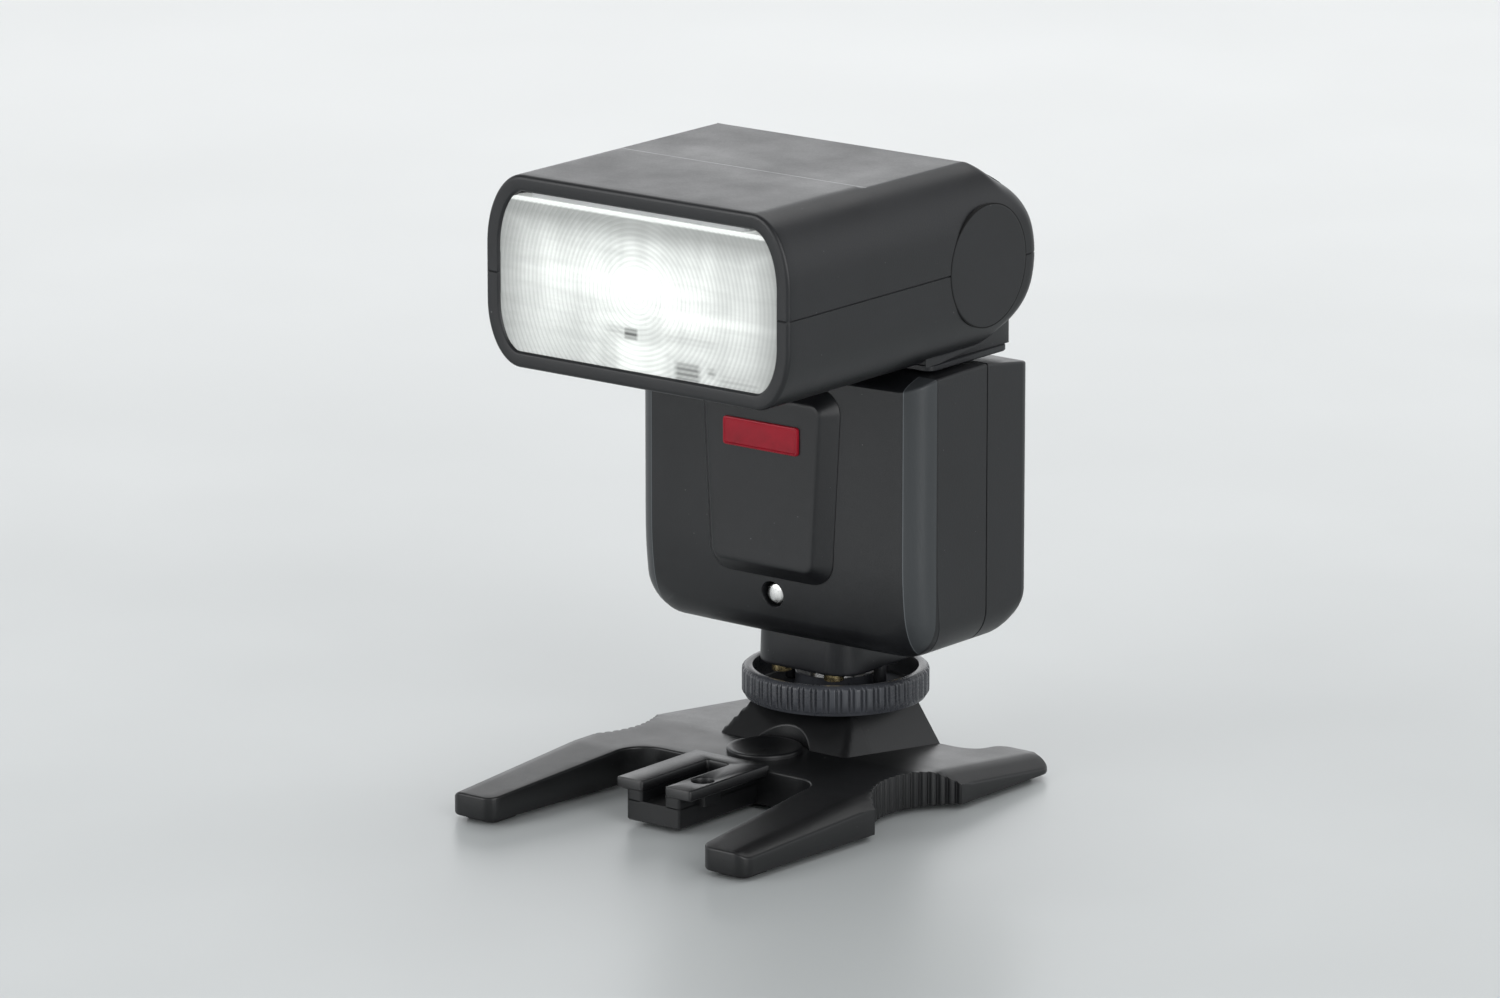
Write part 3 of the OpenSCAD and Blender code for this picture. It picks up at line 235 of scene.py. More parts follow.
def inside(points, outline):
    """Which points lie within a closed outline: those whose level line crosses it an odd number of
    times."""
    (x0, y0), (x1, y1) = outline.T, np.roll(outline, -1, 0).T
    y = points[:, 1][:, None]
    crossing = (y0 > y) != (y1 > y)
    reach = x0 + (y - y0) / np.where(y1 == y0, 1e-9, y1 - y0) * (x1 - x0)
    return (crossing & (points[:, 0][:, None] < reach)).sum(1) % 2 == 1


def fill(points, loops):
    """Triangles between closed outlines, given as runs of point numbers, through every point among them.
    The first outline is the border, the others are holes."""
    edges = [e for run in loops for e in zip(run, np.roll(run, -1))]
    found = delaunay_2d_cdt([Vector(p) for p in points], [(int(a), int(b)) for a, b in edges], [], 1, 1e-7)
    triangles = np.array([ids[0] for ids in found[3]])[np.array(found[2])]
    centres = points[triangles].mean(1)
    for run in loops[1:]:
        keep = ~inside(centres, points[run])
        triangles, centres = triangles[keep], centres[keep]
    return triangles


def volume(verts, faces):
    """Signed volume inside a closed mesh: the sum of its faces' fans about the origin."""
    total = 0.0
    for group in faces:
        p = verts[group]
        fan = np.cross(p[:, 1:-1], p[:, 2:])
        total += np.einsum("ij,ikj->", p[:, 0], fan)
    return total


def closed(verts, faces):
    """A mesh with its faces turned outwards."""
    verts = np.asarray(verts, float).reshape(-1, 3)
    if volume(verts, faces) < 0:
        faces = [f[:, ::-1] for f in faces]
    return verts, faces


def loft(rows, ends=True):
    """Skin over closed outlines that follow each other, rows x points x 3. A face shuts each end, or else
    the last outline joins the first."""
    count, points = rows.shape[:2]
    if ends:
        ring = np.arange(points)[None]
        faces = [quads(count, points), ring[:, ::-1], ring + (count - 1) * points]
    else:
        faces = [quads(count + 1, points) % (count * points)]
    return closed(rows.reshape(-1, 3), faces)


def turned(profile, axis, count, at, flip=1):
    """A closed profile of (radius, height) points carried round an axis, mirrored across if flip is -1,
    and moved to its place."""
    a = around(count)[:, None]
    r, h = np.asarray(profile, float).T[:, None]
    c, s, h = r * np.cos(a), r * np.sin(a), np.broadcast_to(h, (count, len(profile)))
    order = {"x": (h, c, s), "y": (c, h, s), "z": (c, s, h)}[axis]
    verts, faces = loft(np.stack(order, -1), ends=False)
    return closed(verts * [flip, 1, 1] + at, faces)


def drawn(loop, x, at):
    """A closed outline of (y, z) points, moved to its place and drawn along the x axis through the given
    stops."""
    x = np.asarray(x, float)
    yz = np.broadcast_to((loop + at)[None], (len(x),) + loop.shape)
    return loft(np.concatenate([np.broadcast_to(x[:, None, None], yz.shape[:2] + (1,)), yz], -1))


def shut(verts, rings, axes, turn, extra=None):
    """Triangles over closed rings of points, laid flat on two of their axes, through any extra points."""
    extra = np.zeros((0, 3)) if extra is None else extra
    ids = np.concatenate(list(rings) + [len(verts) + np.arange(len(extra))]).astype(int)
    verts = np.concatenate([verts, extra])
    start = np.cumsum([0] + [len(ring) for ring in rings])
    runs = [np.arange(start[i], start[i + 1]) for i in range(len(rings))]
    return verts, ids[fill(verts[ids][:, axes], runs)][:, ::turn]


def slab(loops, section, place):
    """Outlines carried along a section of (height, inset) points: a point moves inwards along its normal
    by the inset and stands at the height. place turns (x, y, height) into space. Triangles shut the first
    and last ring."""
    height, inset = np.asarray(section, float).T[..., None, None]
    verts, faces, rings, first = [], [], [[], []], 0
    for loop in loops:
        flat = loop[None] - inset * outward(loop)[None]
        rows, cols = flat.shape[:2]
        verts.append(np.concatenate([flat, np.broadcast_to(height, (rows, cols, 1))], -1))
        faces.append(quads(rows, cols, first))
        rings[0].append(first + np.arange(cols))
        rings[1].append(first + (rows - 1) * cols + np.arange(cols))
        first += rows * cols
    verts = np.concatenate([v.reshape(-1, 3) for v in verts])
    for ends, turn in zip(rings, (-1, 1)):
        verts, triangles = shut(verts, ends, (0, 1), turn)
        faces.append(triangles)
    return closed(np.stack(place(*verts.T), -1), faces)


def upright(x, y, z):
    """Place of a slab whose outline is given in the part's own coordinates."""
    return x, y, z


def by_shoe(x, y, z):
    """Place of a slab whose outline is given from the shoe's axis."""
    return x, y + SHOE_Y, z


def dense(loop, step):
    """A closed outline with more points on its long straight runs."""
    ring = np.concatenate([loop, loop[:1]])
    s = np.concatenate([[0], np.cumsum(np.hypot(*np.diff(ring, axis=0).T))])
    more = np.arange(0, s[-1], step)
    more = more[np.abs(more[:, None] - s[None]).min(1) > step * 0.45]
    t = np.sort(np.concatenate([s[:-1], more]))
    return np.stack([np.interp(t, s, ring[:, 0]), np.interp(t, s, ring[:, 1])], 1)


def lattice(loop, step, holes=()):
    """Even grid of points inside an outline, clear of it and of its holes by half a step."""
    low, high = loop.min(0), loop.max(0)
    axes = [np.arange(low[i] + step / 2, high[i], step) for i in (0, 1)]
    points = np.stack(np.meshgrid(*axes), -1).reshape(-1, 2)
    keep = np.ones(len(points), bool)
    for outline in (loop, *holes):
        within = inside(points, outline)
        gap = np.linalg.norm(points[:, None] - outline[None], axis=2).min(1)
        keep &= (within if outline is loop else ~within) & (gap > step * 0.5)
    return points[keep]


def relief(loop, foot, height, edge, step):
    """A plate of changing height: walls stand on a level foot along the outline and turn over a rounded
    edge into a top that follows height(x, y)."""
    edge = np.broadcast_to(np.asarray(edge, float), len(loop))
    k = np.linspace(0, np.pi / 2, 6)
    inset = np.concatenate([[RELIEF_FOOT, 0.0], 1 - np.cos(k)])[:, None] * edge[None]
    flat = loop[None] - inset[..., None] * outward(loop)[None]
    z = height(flat[..., 0], flat[..., 1])
    z[2:] += (np.sin(k) - 1)[:, None] * edge[None]
    z[:2] = [[foot], [foot + RELIEF_FOOT]]
    count, cols = z.shape
    verts = np.concatenate([flat, z[..., None]], -1).reshape(-1, 3)
    grid = lattice(flat[-1], step)
    grid = np.column_stack([grid, height(*grid.T)])
    verts, bottom = shut(verts, [np.arange(cols)], (0, 1), -1)
    verts, top = shut(verts, [np.arange(cols) + (count - 1) * cols], (0, 1), 1, grid)
    return closed(verts + [0, SHOE_Y, 0], [quads(count, cols), bottom, top])


def put(name, mesh, slot, node, look=None, sharp=SHARP_ANGLE, bevel=None):
    """An object of a mesh, smooth but for its sharp edges, with the material of its look or else of its
    slot and any bevel. It is tied to the frame and stands for a node."""
    mesh.polygons.foreach_set("use_smooth", np.ones(len(mesh.polygons), bool))
    mesh.set_sharp_from_angle(angle=math.radians(sharp))
    mesh.materials.clear()
    mesh.materials.append(finish(look or slot))
    obj = bpy.data.objects.new(name, mesh)
    if bevel is not None:
        rounding = obj.modifiers.new("Moulded edges", "BEVEL")
        rounding.width = bevel * MM
        rounding.segments = 2
        rounding.limit_method = "ANGLE"
        rounding.angle_limit = math.radians(SHARP_ANGLE)
        rounding.use_clamp_overlap = False
        rounding.harden_normals = True
    bpy.context.scene.collection.objects.link(obj)
    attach(obj, frame["nodes"][node]["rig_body"])
    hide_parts(node)


def piece(name, shells, slot, node, look=None, sharp=SHARP_ANGLE):
    """One object from closed meshes in millimetres, with its place in its mesh."""
    verts, faces, first = [], [], 0
    for points, groups in shells:
        verts.append(points)
        faces += [f + first for f in groups]
        first += len(points)
    mesh = bpy.data.meshes.new(name)
    mesh.from_pydata((np.concatenate(verts) * MM).tolist(), [], [f for g in faces for f in g.tolist()])
    put(name, mesh, slot, node, look, sharp)


def eased(name, slot, node, bevel):
    """A node's own solid with its moulded edges rounded: doubles merged, flat faces joined, then
    bevelled."""
    mesh = frame["nodes"][node].data.copy()
    mesh.name = name
    work = bmesh.new()
    work.from_mesh(mesh)
    bmesh.ops.remove_doubles(work, verts=work.verts, dist=1e-6)
    bmesh.ops.dissolve_limit(work, angle_limit=math.radians(FLAT_ANGLE), verts=work.verts, edges=work.edges)
    work.to_mesh(mesh)
    work.free()
    put(name, mesh, slot, node, bevel=bevel)


def dress(slot, *nodes):
    """Gives CAD nodes the material of a slot."""
    for node in nodes:
        slots = frame["nodes"][node].data.materials
        slots.clear()
        slots.append(finish(slot))


# Materials

CLOUD = (0.3, 0.7)
LINT_COLOUR = (0.35, 0.35, 0.35)
# A painted highlight along the crease on the head's deck: its colour and its half width.
CREASE_HIGHLIGHT_COLOUR = (0.2, 0.207, 0.21)
CREASE_HIGHLIGHT_HALF = 0.22
# Where the painted sheen of the body's round corners lies, and the half width of its painted highlight
# line.
STRIP_WIDE = 4.4
STRIP_DEEP = 14.2
STRIP_SOFT = 0.1
STRIP_LINE = 0.09

# Painted glow, shade and highlight in the lens, from its middle. Spots are (across, up, half width, half
# height, amount), and patches also have the width of their soft edge before the amount.
LENS_WASH = (0, -1, 46, 22, 0.6)
LENS_SPOTS = ((-1, 2.0, 14, 2.9, 0.55), (16, -3, 18, 1.7, 0.35), (-20, 1, 7, 7, 0.15))
LENS_FOOT_GLOW = (1, -12.6, 5.5, 3.0, 1.0, 0.3)
# Painted shade where the tube's holder shows through the lens.
LENS_HOLDER_SHADE = (
    (-1.6, -7.7, 1.6, 1.0, 0.35, 1.0),
    (-5.0, -7.4, 2.4, 0.9, 0.9, 0.4),
    (12.2, -13.3, 2.9, 1.7, 0.6, 0.8),
    (18.0, -12.6, 0.9, 0.8, 0.5, 0.6),
    (25, -14.0, 5.0, 1.2, 1.0, 0.35),
    (13, -7.2, 6.0, 0.9, 1.0, 0.28),
)
# Painted shade in a band and towards the ends, and a painted highlight along the upper edge.
LENS_SHADE_BAND = (9.0, 13.0)
LENS_SHADED_ENDS = (26, 34)
LENS_LEDGE_HIGHLIGHT = (14.6, 15.0)
LENS_GLOW = 0.5


class Nodes:
    """A node tree whose parts are added one after another."""

    def __init__(self, tree):
        self.tree = tree

    def node(self, kind, **settings):
        made = self.tree.nodes.new(kind)
        for key, value in settings.items():
            setattr(made, key, value)
        return made

    def feed(self, socket, value):
        """Links a socket to another one, or sets it to a plain value."""
        if isinstance(value, NodeSocket):
            self.tree.links.new(value, socket)
        else:
            socket.default_value = value

    def math(self, operation, value, *others):
        """An operation on one value, or on a run of values one after another."""
        for other in others or (0.0,):
            made = self.node("ShaderNodeMath", operation=operation)
            self.feed(made.inputs[0], value)
            self.feed(made.inputs[1], other)
            value = made.outputs[0]
        return value

    def spread(self, value, low, high, out_low=0.0, out_high=1.0):
        """A value mapped from one range to another and held inside it."""
        made = self.node("ShaderNodeMapRange")
        for socket, number in zip(made.inputs, (value, low, high, out_low, out_high)):
            self.feed(socket, number)
        return made.outputs["Result"]

    def blend(self, factor, a, b):
        """Colour a where the factor is 0 and b where it is 1. Either may be a socket."""
        made = self.node("ShaderNodeMix", data_type="RGBA")
        self.feed(made.inputs["Factor"], factor)
        for index, value in ((6, a), (7, b)):
            self.feed(made.inputs[index], value if isinstance(value, NodeSocket) else (*value, 1.0))
        return made.outputs[2]

    def xyz(self, vector):
        """The three parts of a vector."""
        made = self.node("ShaderNodeSeparateXYZ")
        self.feed(made.inputs[0], vector)
        return made.outputs


class Finish(Nodes):
    """A node material over the piece's own coordinates."""

    def __init__(self, name, **sockets):
        self.material = bpy.data.materials.new(name)
        self.material.use_nodes = True
        super().__init__(self.material.node_tree)
        self.shader = self.tree.nodes["Principled BSDF"].inputs
        for socket, value in sockets.items():
            self.shader[socket.replace("_", " ")].default_value = value
        self.place = self.node("ShaderNodeTexCoord").outputs["Object"]

    def noise(self, scale, detail=3.0, roughness=0.55, vector=None):
        """Cloudy value over the piece, in features per metre."""
        made = self.node("ShaderNodeTexNoise")
        made.inputs["Scale"].default_value = scale
        made.inputs["Detail"].default_value = detail
        made.inputs["Roughness"].default_value = roughness
        self.feed(made.inputs["Vector"], vector or self.place)
        return made.outputs["Fac"]

    def stretched(self, scale):
        """The piece's coordinates about the tilt axis, scaled along each axis."""
        made = self.node("ShaderNodeMapping")
        made.inputs["Location"].default_value = [-t * k * MM for t, k in zip(TILT, scale)]
        made.inputs["Scale"].default_value = scale
        self.feed(made.inputs["Vector"], self.place)
        return made.outputs["Vector"]

    def surface(self, colour, rough):
        """Sets the base colour and the roughness."""
        self.feed(self.shader["Base Color"], colour)
        self.feed(self.shader["Roughness"], rough)

    def bump(self, height, strength, distance):
        """Relief from a height, with its depth in millimetres."""
        made = self.node("ShaderNodeBump")
        made.inputs["Strength"].default_value = strength
        made.inputs["Distance"].default_value = distance * MM
        self.feed(made.inputs["Height"], height)
        self.feed(self.shader["Normal"], made.outputs["Normal"])


def tint(base, factor):
    """A colour made lighter or darker."""
    return tuple(min(1.0, c * factor) for c in base)


def moulded(name, base, rough, grain=0.35, depth=0.05, paint=None):
    """Spark eroded plastic: fine grain in the bump, slow clouds in colour and gloss, and a little lint.
    paint may lay painted highlight over the body's colour."""
    f = Finish(name, Specular_IOR_Level=0.5)
    cloud = f.noise(70, 5, 0.6)
    fine = f.noise(1 / (grain * MM), 2)
    body = f.blend(f.spread(cloud, *CLOUD), tint(base, 0.8), tint(base, 1.25))
    if paint is not None:
        body = paint(f, body)
    lint = f.spread(f.noise(1400, 1), 0.80, 0.84, 0.0, 0.35)
    slow = f.spread(cloud, *CLOUD, rough - 0.05, rough + 0.05)
    gloss = f.math("ADD", slow, f.spread(fine, 0, 1, -0.05, 0.05))
    f.surface(f.blend(lint, body, LINT_COLOUR), gloss)
    f.bump(fine, 0.35, depth)
    return f.material


def corner_sheen(f, body):
    """Lays painted sheen on the body's round corners, a lighter colour for the light they catch, with a
    hair line of painted highlight along its front edge."""
    sheen = bpy.context.scene.flash_colours.strip
    edge_x, edge_y, soft = (BODY_HIGH[0] - STRIP_WIDE) * MM, (SHOE_Y - STRIP_DEEP) * MM, STRIP_SOFT * MM
    x, y, _ = f.xyz(f.place)
    x = f.math("ABSOLUTE", x)
    side = f.spread(x, edge_x - soft, edge_x + soft)
    front = f.spread(y, edge_y - soft, edge_y + soft, 1.0, 0.0)
    strip = f.blend(f.math("MULTIPLY", side, front), body, tuple(sheen))
    line = f.math("LESS_THAN", f.math("ABSOLUTE", f.math("SUBTRACT", x, edge_x)), STRIP_LINE * MM)
    return f.blend(f.math("MULTIPLY", line, front), strip, tint(sheen, 2.5))


def crease_highlight(f, body):
    """Paints a thin line of painted highlight along the crease across the head's deck, patchy along it."""
    x, y, z = f.xyz(f.place)
    off = f.math("ABSOLUTE", f.math("SUBTRACT", y, (TILT[1] - size("crease")) * MM))
    line = f.math("LESS_THAN", off, CREASE_HIGHLIGHT_HALF * MM)
    deck = f.math("LESS_THAN", f.math("ABSOLUTE", x), size("deck_half") * MM)
    above = f.math("GREATER_THAN", z, (TILT[2] + HEAD_HIGH[2] - 3.0) * MM)
    patchy = f.spread(f.noise(250, 3), 0.3, 0.6, 0.5, 1.0)
    return f.blend(f.math("MULTIPLY", line, deck, above, patchy), body, CREASE_HIGHLIGHT_COLOUR)


def metal(name, base, rough):
    """Bare metal with fine marks in its gloss."""
    f = Finish(name, Metallic=1.0)
    marks = f.noise(900, 6, 0.7)
    shade = f.blend(f.spread(marks, *CLOUD), tint(base, 0.85), tint(base, 1.08))
    f.surface(shade, f.spread(marks, 0.25, 0.75, rough * 0.7, rough * 1.4))
    f.bump(marks, 0.15, 0.02)
    return f.material


def clear_white(name, base, transmission, rough):
    """Milky clear plastic or glass with faint streaks."""
    f = Finish(name, Transmission_Weight=transmission, IOR=1.47)
    streak = f.spread(f.noise(160, 4), *CLOUD)
    shade = f.blend(streak, tint(base, 0.92), tint(base, 1.05))
    f.surface(shade, f.spread(streak, 0, 1, rough * 0.7, rough * 1.3))
    return f.material


def lacquer(name, base):
    """Lacquered plate with a fine brushed grain under a thin clear coat, darker towards its lower edge."""
    f = Finish(name, Coat_Weight=0.15, Coat_Roughness=0.2, Specular_IOR_Level=0.2)
    low, high = span("badge")
    grain = f.noise(400, 4)
    shade = f.spread(f.xyz(f.place)[2], low[2] * MM, high[2] * MM)
    body = f.blend(shade, tint(base, 0.7), tint(base, 1.25))
    body = f.blend(f.spread(grain, 0.35, 0.65, 0.0, 0.4), body, tint(base, 1.4))
    f.surface(body, f.spread(grain, *CLOUD, 0.28, 0.42))
    return f.material


def lens_with_painted_light(name, base):
    """Clear ribbed plastic with painted light for the reflector behind it: a painted white glow in the
    middle with level streaks, painted shade at the ends, in a grey band under a painted highlight along the
    upper edge and in the ring grooves, and the hatched painted shade of the tube's holder below the middle."""
    f = Finish(name, Transmission_Weight=0.15, IOR=1.47, Specular_IOR_Level=0.4)
    x, _, z = f.xyz(f.place)
    z = f.math("SUBTRACT", z, TILT[2] * MM)
    wave = 2 * math.pi / (size("groove_pitch") * MM)

    def distance(dx, dz):
        return f.math("ADD", f.math("MULTIPLY", dx, dx), f.math("MULTIPLY", dz, dz))

    def spot(across, up, wide, tall, amount):
        """An amount in the middle of an ellipse, falling by a bell curve to 0 outside it."""
        dx = f.math("DIVIDE", f.math("SUBTRACT", x, across * MM), wide * MM)
        dz = f.math("DIVIDE", f.math("SUBTRACT", z, up * MM), tall * MM)
        return f.math("MULTIPLY", f.math("EXPONENT", f.math("MULTIPLY", distance(dx, dz), -1.0)), amount)

    def patch(across, up, wide, tall, soft, amount):
        """An amount inside a soft-edged rectangle."""
        dx = f.math("ABSOLUTE", f.math("SUBTRACT", x, across * MM))
        dz = f.math("ABSOLUTE", f.math("SUBTRACT", z, up * MM))
        level = f.spread(dx, (wide - soft) * MM, (wide + soft) * MM, amount, 0.0)
        return f.math("MULTIPLY", level, f.spread(dz, (tall - soft) * MM, (tall + soft) * MM, 1.0, 0.0))

    def rise(value, ends, amount=1.0):
        """A value that climbs to an amount between two places."""
        return f.spread(value, ends[0] * MM, ends[1] * MM, 0.0, amount)

    rings = f.math("SINE", f.math("MULTIPLY", f.math("SQRT", distance(x, z)), wave))
    hatch = f.math("SINE", f.math("MULTIPLY", z, wave))
    streak = f.noise(150, 4, 0.6, f.stretched((0.25, 1.0, 2.2)))
    bars = f.noise(110, 3, 0.5, f.stretched((2.0, 1.0, 0.35)))
    wash = f.math("MULTIPLY", spot(*LENS_WASH), f.spread(bars, 0.35, 0.65, 0.72, 1.2))
    glow = f.math("ADD", wash, *(spot(*values) for values in LENS_SPOTS))
    glow = f.math("MULTIPLY", glow, f.spread(streak, 0.32, 0.65, 0.65, 1.15))
    glow = f.math("ADD", glow, patch(*LENS_FOOT_GLOW))
    # Painted shade of the tube's holder, hatched.
    holder = f.math("MAXIMUM", *(patch(*values) for values in LENS_HOLDER_SHADE))
    holder = f.math("MULTIPLY", holder, f.spread(hatch, -0.7, 0.7, 0.55, 1.0))
    dim = f.math("MAXIMUM", holder, rise(z, LENS_SHADE_BAND, 0.5), rise(f.math("ABSOLUTE", x), LENS_SHADED_ENDS, 0.5))
    ledge_highlight = rise(z, LENS_LEDGE_HIGHLIGHT)
    light = f.math("MULTIPLY", glow, f.spread(dim, 0.0, 1.0, 1.0, 0.0),
                   f.spread(rings, -0.8, 0.8, 0.8, 1.08))
    light = f.math("MAXIMUM", light, f.math("MULTIPLY", ledge_highlight, 0.7))
    shade = f.blend(f.spread(glow, 0.1, 0.7), tint(base, 0.82), tint(base, 1.0))
    shade = f.blend(dim, shade, tint(base, 0.2))
    shade = f.blend(ledge_highlight, shade, tint(base, 1.05))
    # Painted shade in the ring grooves.
    shade = f.blend(f.spread(rings, -0.8, 0.8, 0.2, 0.0), shade, tint(base, 0.45))
    f.surface(shade, f.spread(rings, -0.8, 0.8, 0.24, 0.12))
    # The lens glows though it is no lamp: painted light, emitted by the lens itself.
    f.shader["Emission Color"].default_value = (*tint(base, 1.0), 1.0)
    f.feed(f.shader["Emission Strength"], f.math("MULTIPLY", light, LENS_GLOW))
    return f.material


FINISHES = {}


def finish(look):
    """The material of a look, made once."""
    if look not in FINISHES:
        FINISHES[look] = new_finish(look)
    return FINISHES[look]


def new_finish(look):
    """A new material: each kind has its looks with their colour, their roughness and what else they
    need."""
    c = bpy.context.scene.flash_colours
    plastics = {
        "case_plastic": (c.case, 0.37),
        "body_plastic": (c.case, 0.37, 0.35, 0.05, corner_sheen),
        "head_plastic": (c.case, 0.37, 0.35, 0.05, crease_highlight),
        "stand_plastic": (c.stand, 0.36, 0.3, 0.04),
        # The case plastic made lighter: painted light for the trim parts that sit in the body's shade.
        "trim_plastic": (tint(c.case, 1.5), 0.34, 0.5, 0.03),
        # The case plastic made much lighter: painted highlight for the bright ribs of the lock ring.
        "grip_plastic": (tint(c.case, 6.5), 0.3, 0.5, 0.03),
        # Near black for the painted shadow in the gap round the pivot caps.
        "seal_rubber": ((0.002, 0.002, 0.002), 0.9, 0.25),
        "inner_plastic": ((0.03, 0.03, 0.033), 0.55, 0.5),
        "pad_rubber": ((0.022, 0.022, 0.023), 0.75, 0.25, 0.08),
        "key_rubber": ((0.05, 0.051, 0.055), 0.6, 0.25, 0.05),
        "board_green": ((0.015, 0.10, 0.04), 0.4, 0.8),
        "cell_wrap": ((0.45, 0.24, 0.06), 0.3, 0.8, 0.02),
        "capacitor_sleeve": ((0.02, 0.022, 0.03), 0.3, 0.8, 0.02),
        "display_glass": ((0.05, 0.065, 0.05), 0.12, 1.5, 0.005),
    }
    metals = {
        "mirror_metal": ((0.9, 0.9, 0.89), 0.16),
        "bright_steel": ((0.72, 0.72, 0.71), 0.22),
        "brass": ((0.62, 0.50, 0.27), 0.25),
        "copper_winding": ((0.55, 0.27, 0.12), 0.35),
    }
    clears = {
        "panel_white": ((0.92, 0.93, 0.93), 0.35, 0.2),
        "tube_glass": ((0.95, 0.95, 0.92), 0.3, 0.12),
        "lamp_clear": ((0.6, 0.12, 0.05), 0.4, 0.15),
    }
    kinds = ((moulded, plastics), (metal, metals), (clear_white, clears),
             (lacquer, {"badge_red": (c.badge,)}), (lens_with_painted_light, {"lens_clear": (c.lens,)}))
    make, looks = next(kind for kind in kinds if look in kind[1])
    return make(look, *looks[look])


# Head

UPPER_CORNER = (9.0, 5.4)
LOWER_CORNER = (8.1, 5.5)
DECK_STEP = 0.02
UPPER_REAR = 0.5
LOWER_REAR = -14.5
SHELL_OVERLAP = 0.03
RIM = 3.3
RIM_DEEP = 1.6
HEAD_WALL = 1.8
HEAD_STOPS = (-40.0, -50.0, -60.0)
CREASE_FALL = 1.8
EAR_LEAN = math.radians(32.8)
EAR_GAP = 0.3
EAR_BLEND = 8.0
SHELF_BLEND = 9.0
DRUM_ROOM = 14.95
DRUM_FLOOR = 13.6
REAR_WALL = (-1.3, 0.45, 14.7, 19.0)
CAP_R = (span("pivot_caps")[1][2] - span("pivot_caps")[0][2]) / 2
CAP_STEPS = 96
LENS_BACK = 0.55
LENS_LIP = 0.5
REFLECTOR_WALL = 0.7


def head_outline(low):
    """Half of the head as seen from the front, upper or lower, from the right seam over to the left one: an
    upright side, a quarter of an ellipse and a level top. Returns points and their outward directions."""
    half = HEAD_HIGH[0]
    depth = -HEAD_LOW[2] if low else HEAD_HIGH[2]
    wide, shoulder = LOWER_CORNER if low else UPPER_CORNER
    tall, centre = depth - shoulder, half - wide
    side_z = np.array([0.0, size("seam"), 1.0, 2.5, 4.0])
    side = np.stack([np.full(len(side_z), half), side_z], 1)
    edge = math.acos((size("deck_half") - centre) / wide)
    angles = np.concatenate([np.linspace(0, edge - DECK_STEP, 20),
                             np.linspace(edge + DECK_STEP, math.pi / 2, 6)])
    ray = np.stack([np.cos(angles), np.sin(angles)], 1)
    curve = ray * [wide, tall] + [centre, shoulder]
    curve_n = ray / [wide, tall]
    curve_n /= np.linalg.norm(curve_n, axis=1)[:, None]
    top_x = np.linspace(centre, 0, 12)[1:]
    top = np.stack([top_x, np.full(len(top_x), depth)], 1)
    right = np.concatenate([side, curve, top])
    right_n = np.concatenate([[[1.0, 0.0]] * len(side), curve_n, [[0.0, 1.0]] * len(top)])
    flip = np.array([-1.0, 1.0])
    return np.concatenate([right, right[-2::-1] * flip]), np.concatenate([right_n, right_n[-2::-1] * flip])


def head_wall(rear):
    """Section of the head's wall from its rear end forward along the outside, round the rim of the lens
    and back along the inside, as (distance behind the tilt axis, inset)."""
    front, r, crease = HEAD_LOW[1], size("rim_round"), -size("crease")
    fall = np.linspace(0.0, -CREASE_FALL, 6)
    k = np.linspace(0, math.pi / 2, 8)
    outside = np.concatenate([[rear, (rear + crease) / 2], crease + fall, HEAD_STOPS])
    outside = outside[outside <= rear]
    outside = np.stack([outside, np.zeros(len(outside))], 1)
    turn = np.stack([front + r - r * np.sin(k), r - r * np.cos(k)], 1)
    rim = [(front, RIM - 0.75), (front + 0.06, RIM - 0.45), (front + 0.25, RIM - 0.2),
           (front + 0.5, RIM - 0.05), (front + RIM_DEEP, RIM), (front + RIM_DEEP, HEAD_WALL),
           (HEAD_STOPS[0], HEAD_WALL), (rear, HEAD_WALL)]
    return np.concatenate([outside, turn, rim])


def head_arch(low, rear):
    """Wall of one half of the head: the wall section carried along the half outline. Behind the crease
    the deck is drawn down to the level of its outer edges, and a hair groove marks the seam."""
    points, normals = head_outline(low)
    section = head_wall(rear)
    y = np.broadcast_to(section[:, 0], (len(points), len(section))).copy()
    inset = np.broadcast_to(section[:, 1], y.shape).copy()
    seam = size("seam")
    inset[[0, -1]] = np.clip(inset[[0, -1]], seam, None)
    y[[0, -1]] = np.clip(y[[0, -1]], HEAD_LOW[1] + seam, None)
    x = points[:, None, 0] - inset * normals[:, None, 0]
    z = points[:, None, 1] - inset * normals[:, None, 1]
    if not low:
        deck = size("deck_half")
        flat = (np.abs(points[:, None, 0]) <= deck) & (section[:, 1][None] < 1e-6)
        right = points[points[:, 0] >= 0][::-1]
        level = np.interp(deck, right[:, 0], right[:, 1])
        fall = smooth_step((y + size("crease")) / CREASE_FALL + 1)
        z = np.where(flat, z + (level - z) * fall, z)
    return loft(np.stack([x, y + TILT[1], (-z if low else z) + TILT[2]], -1))


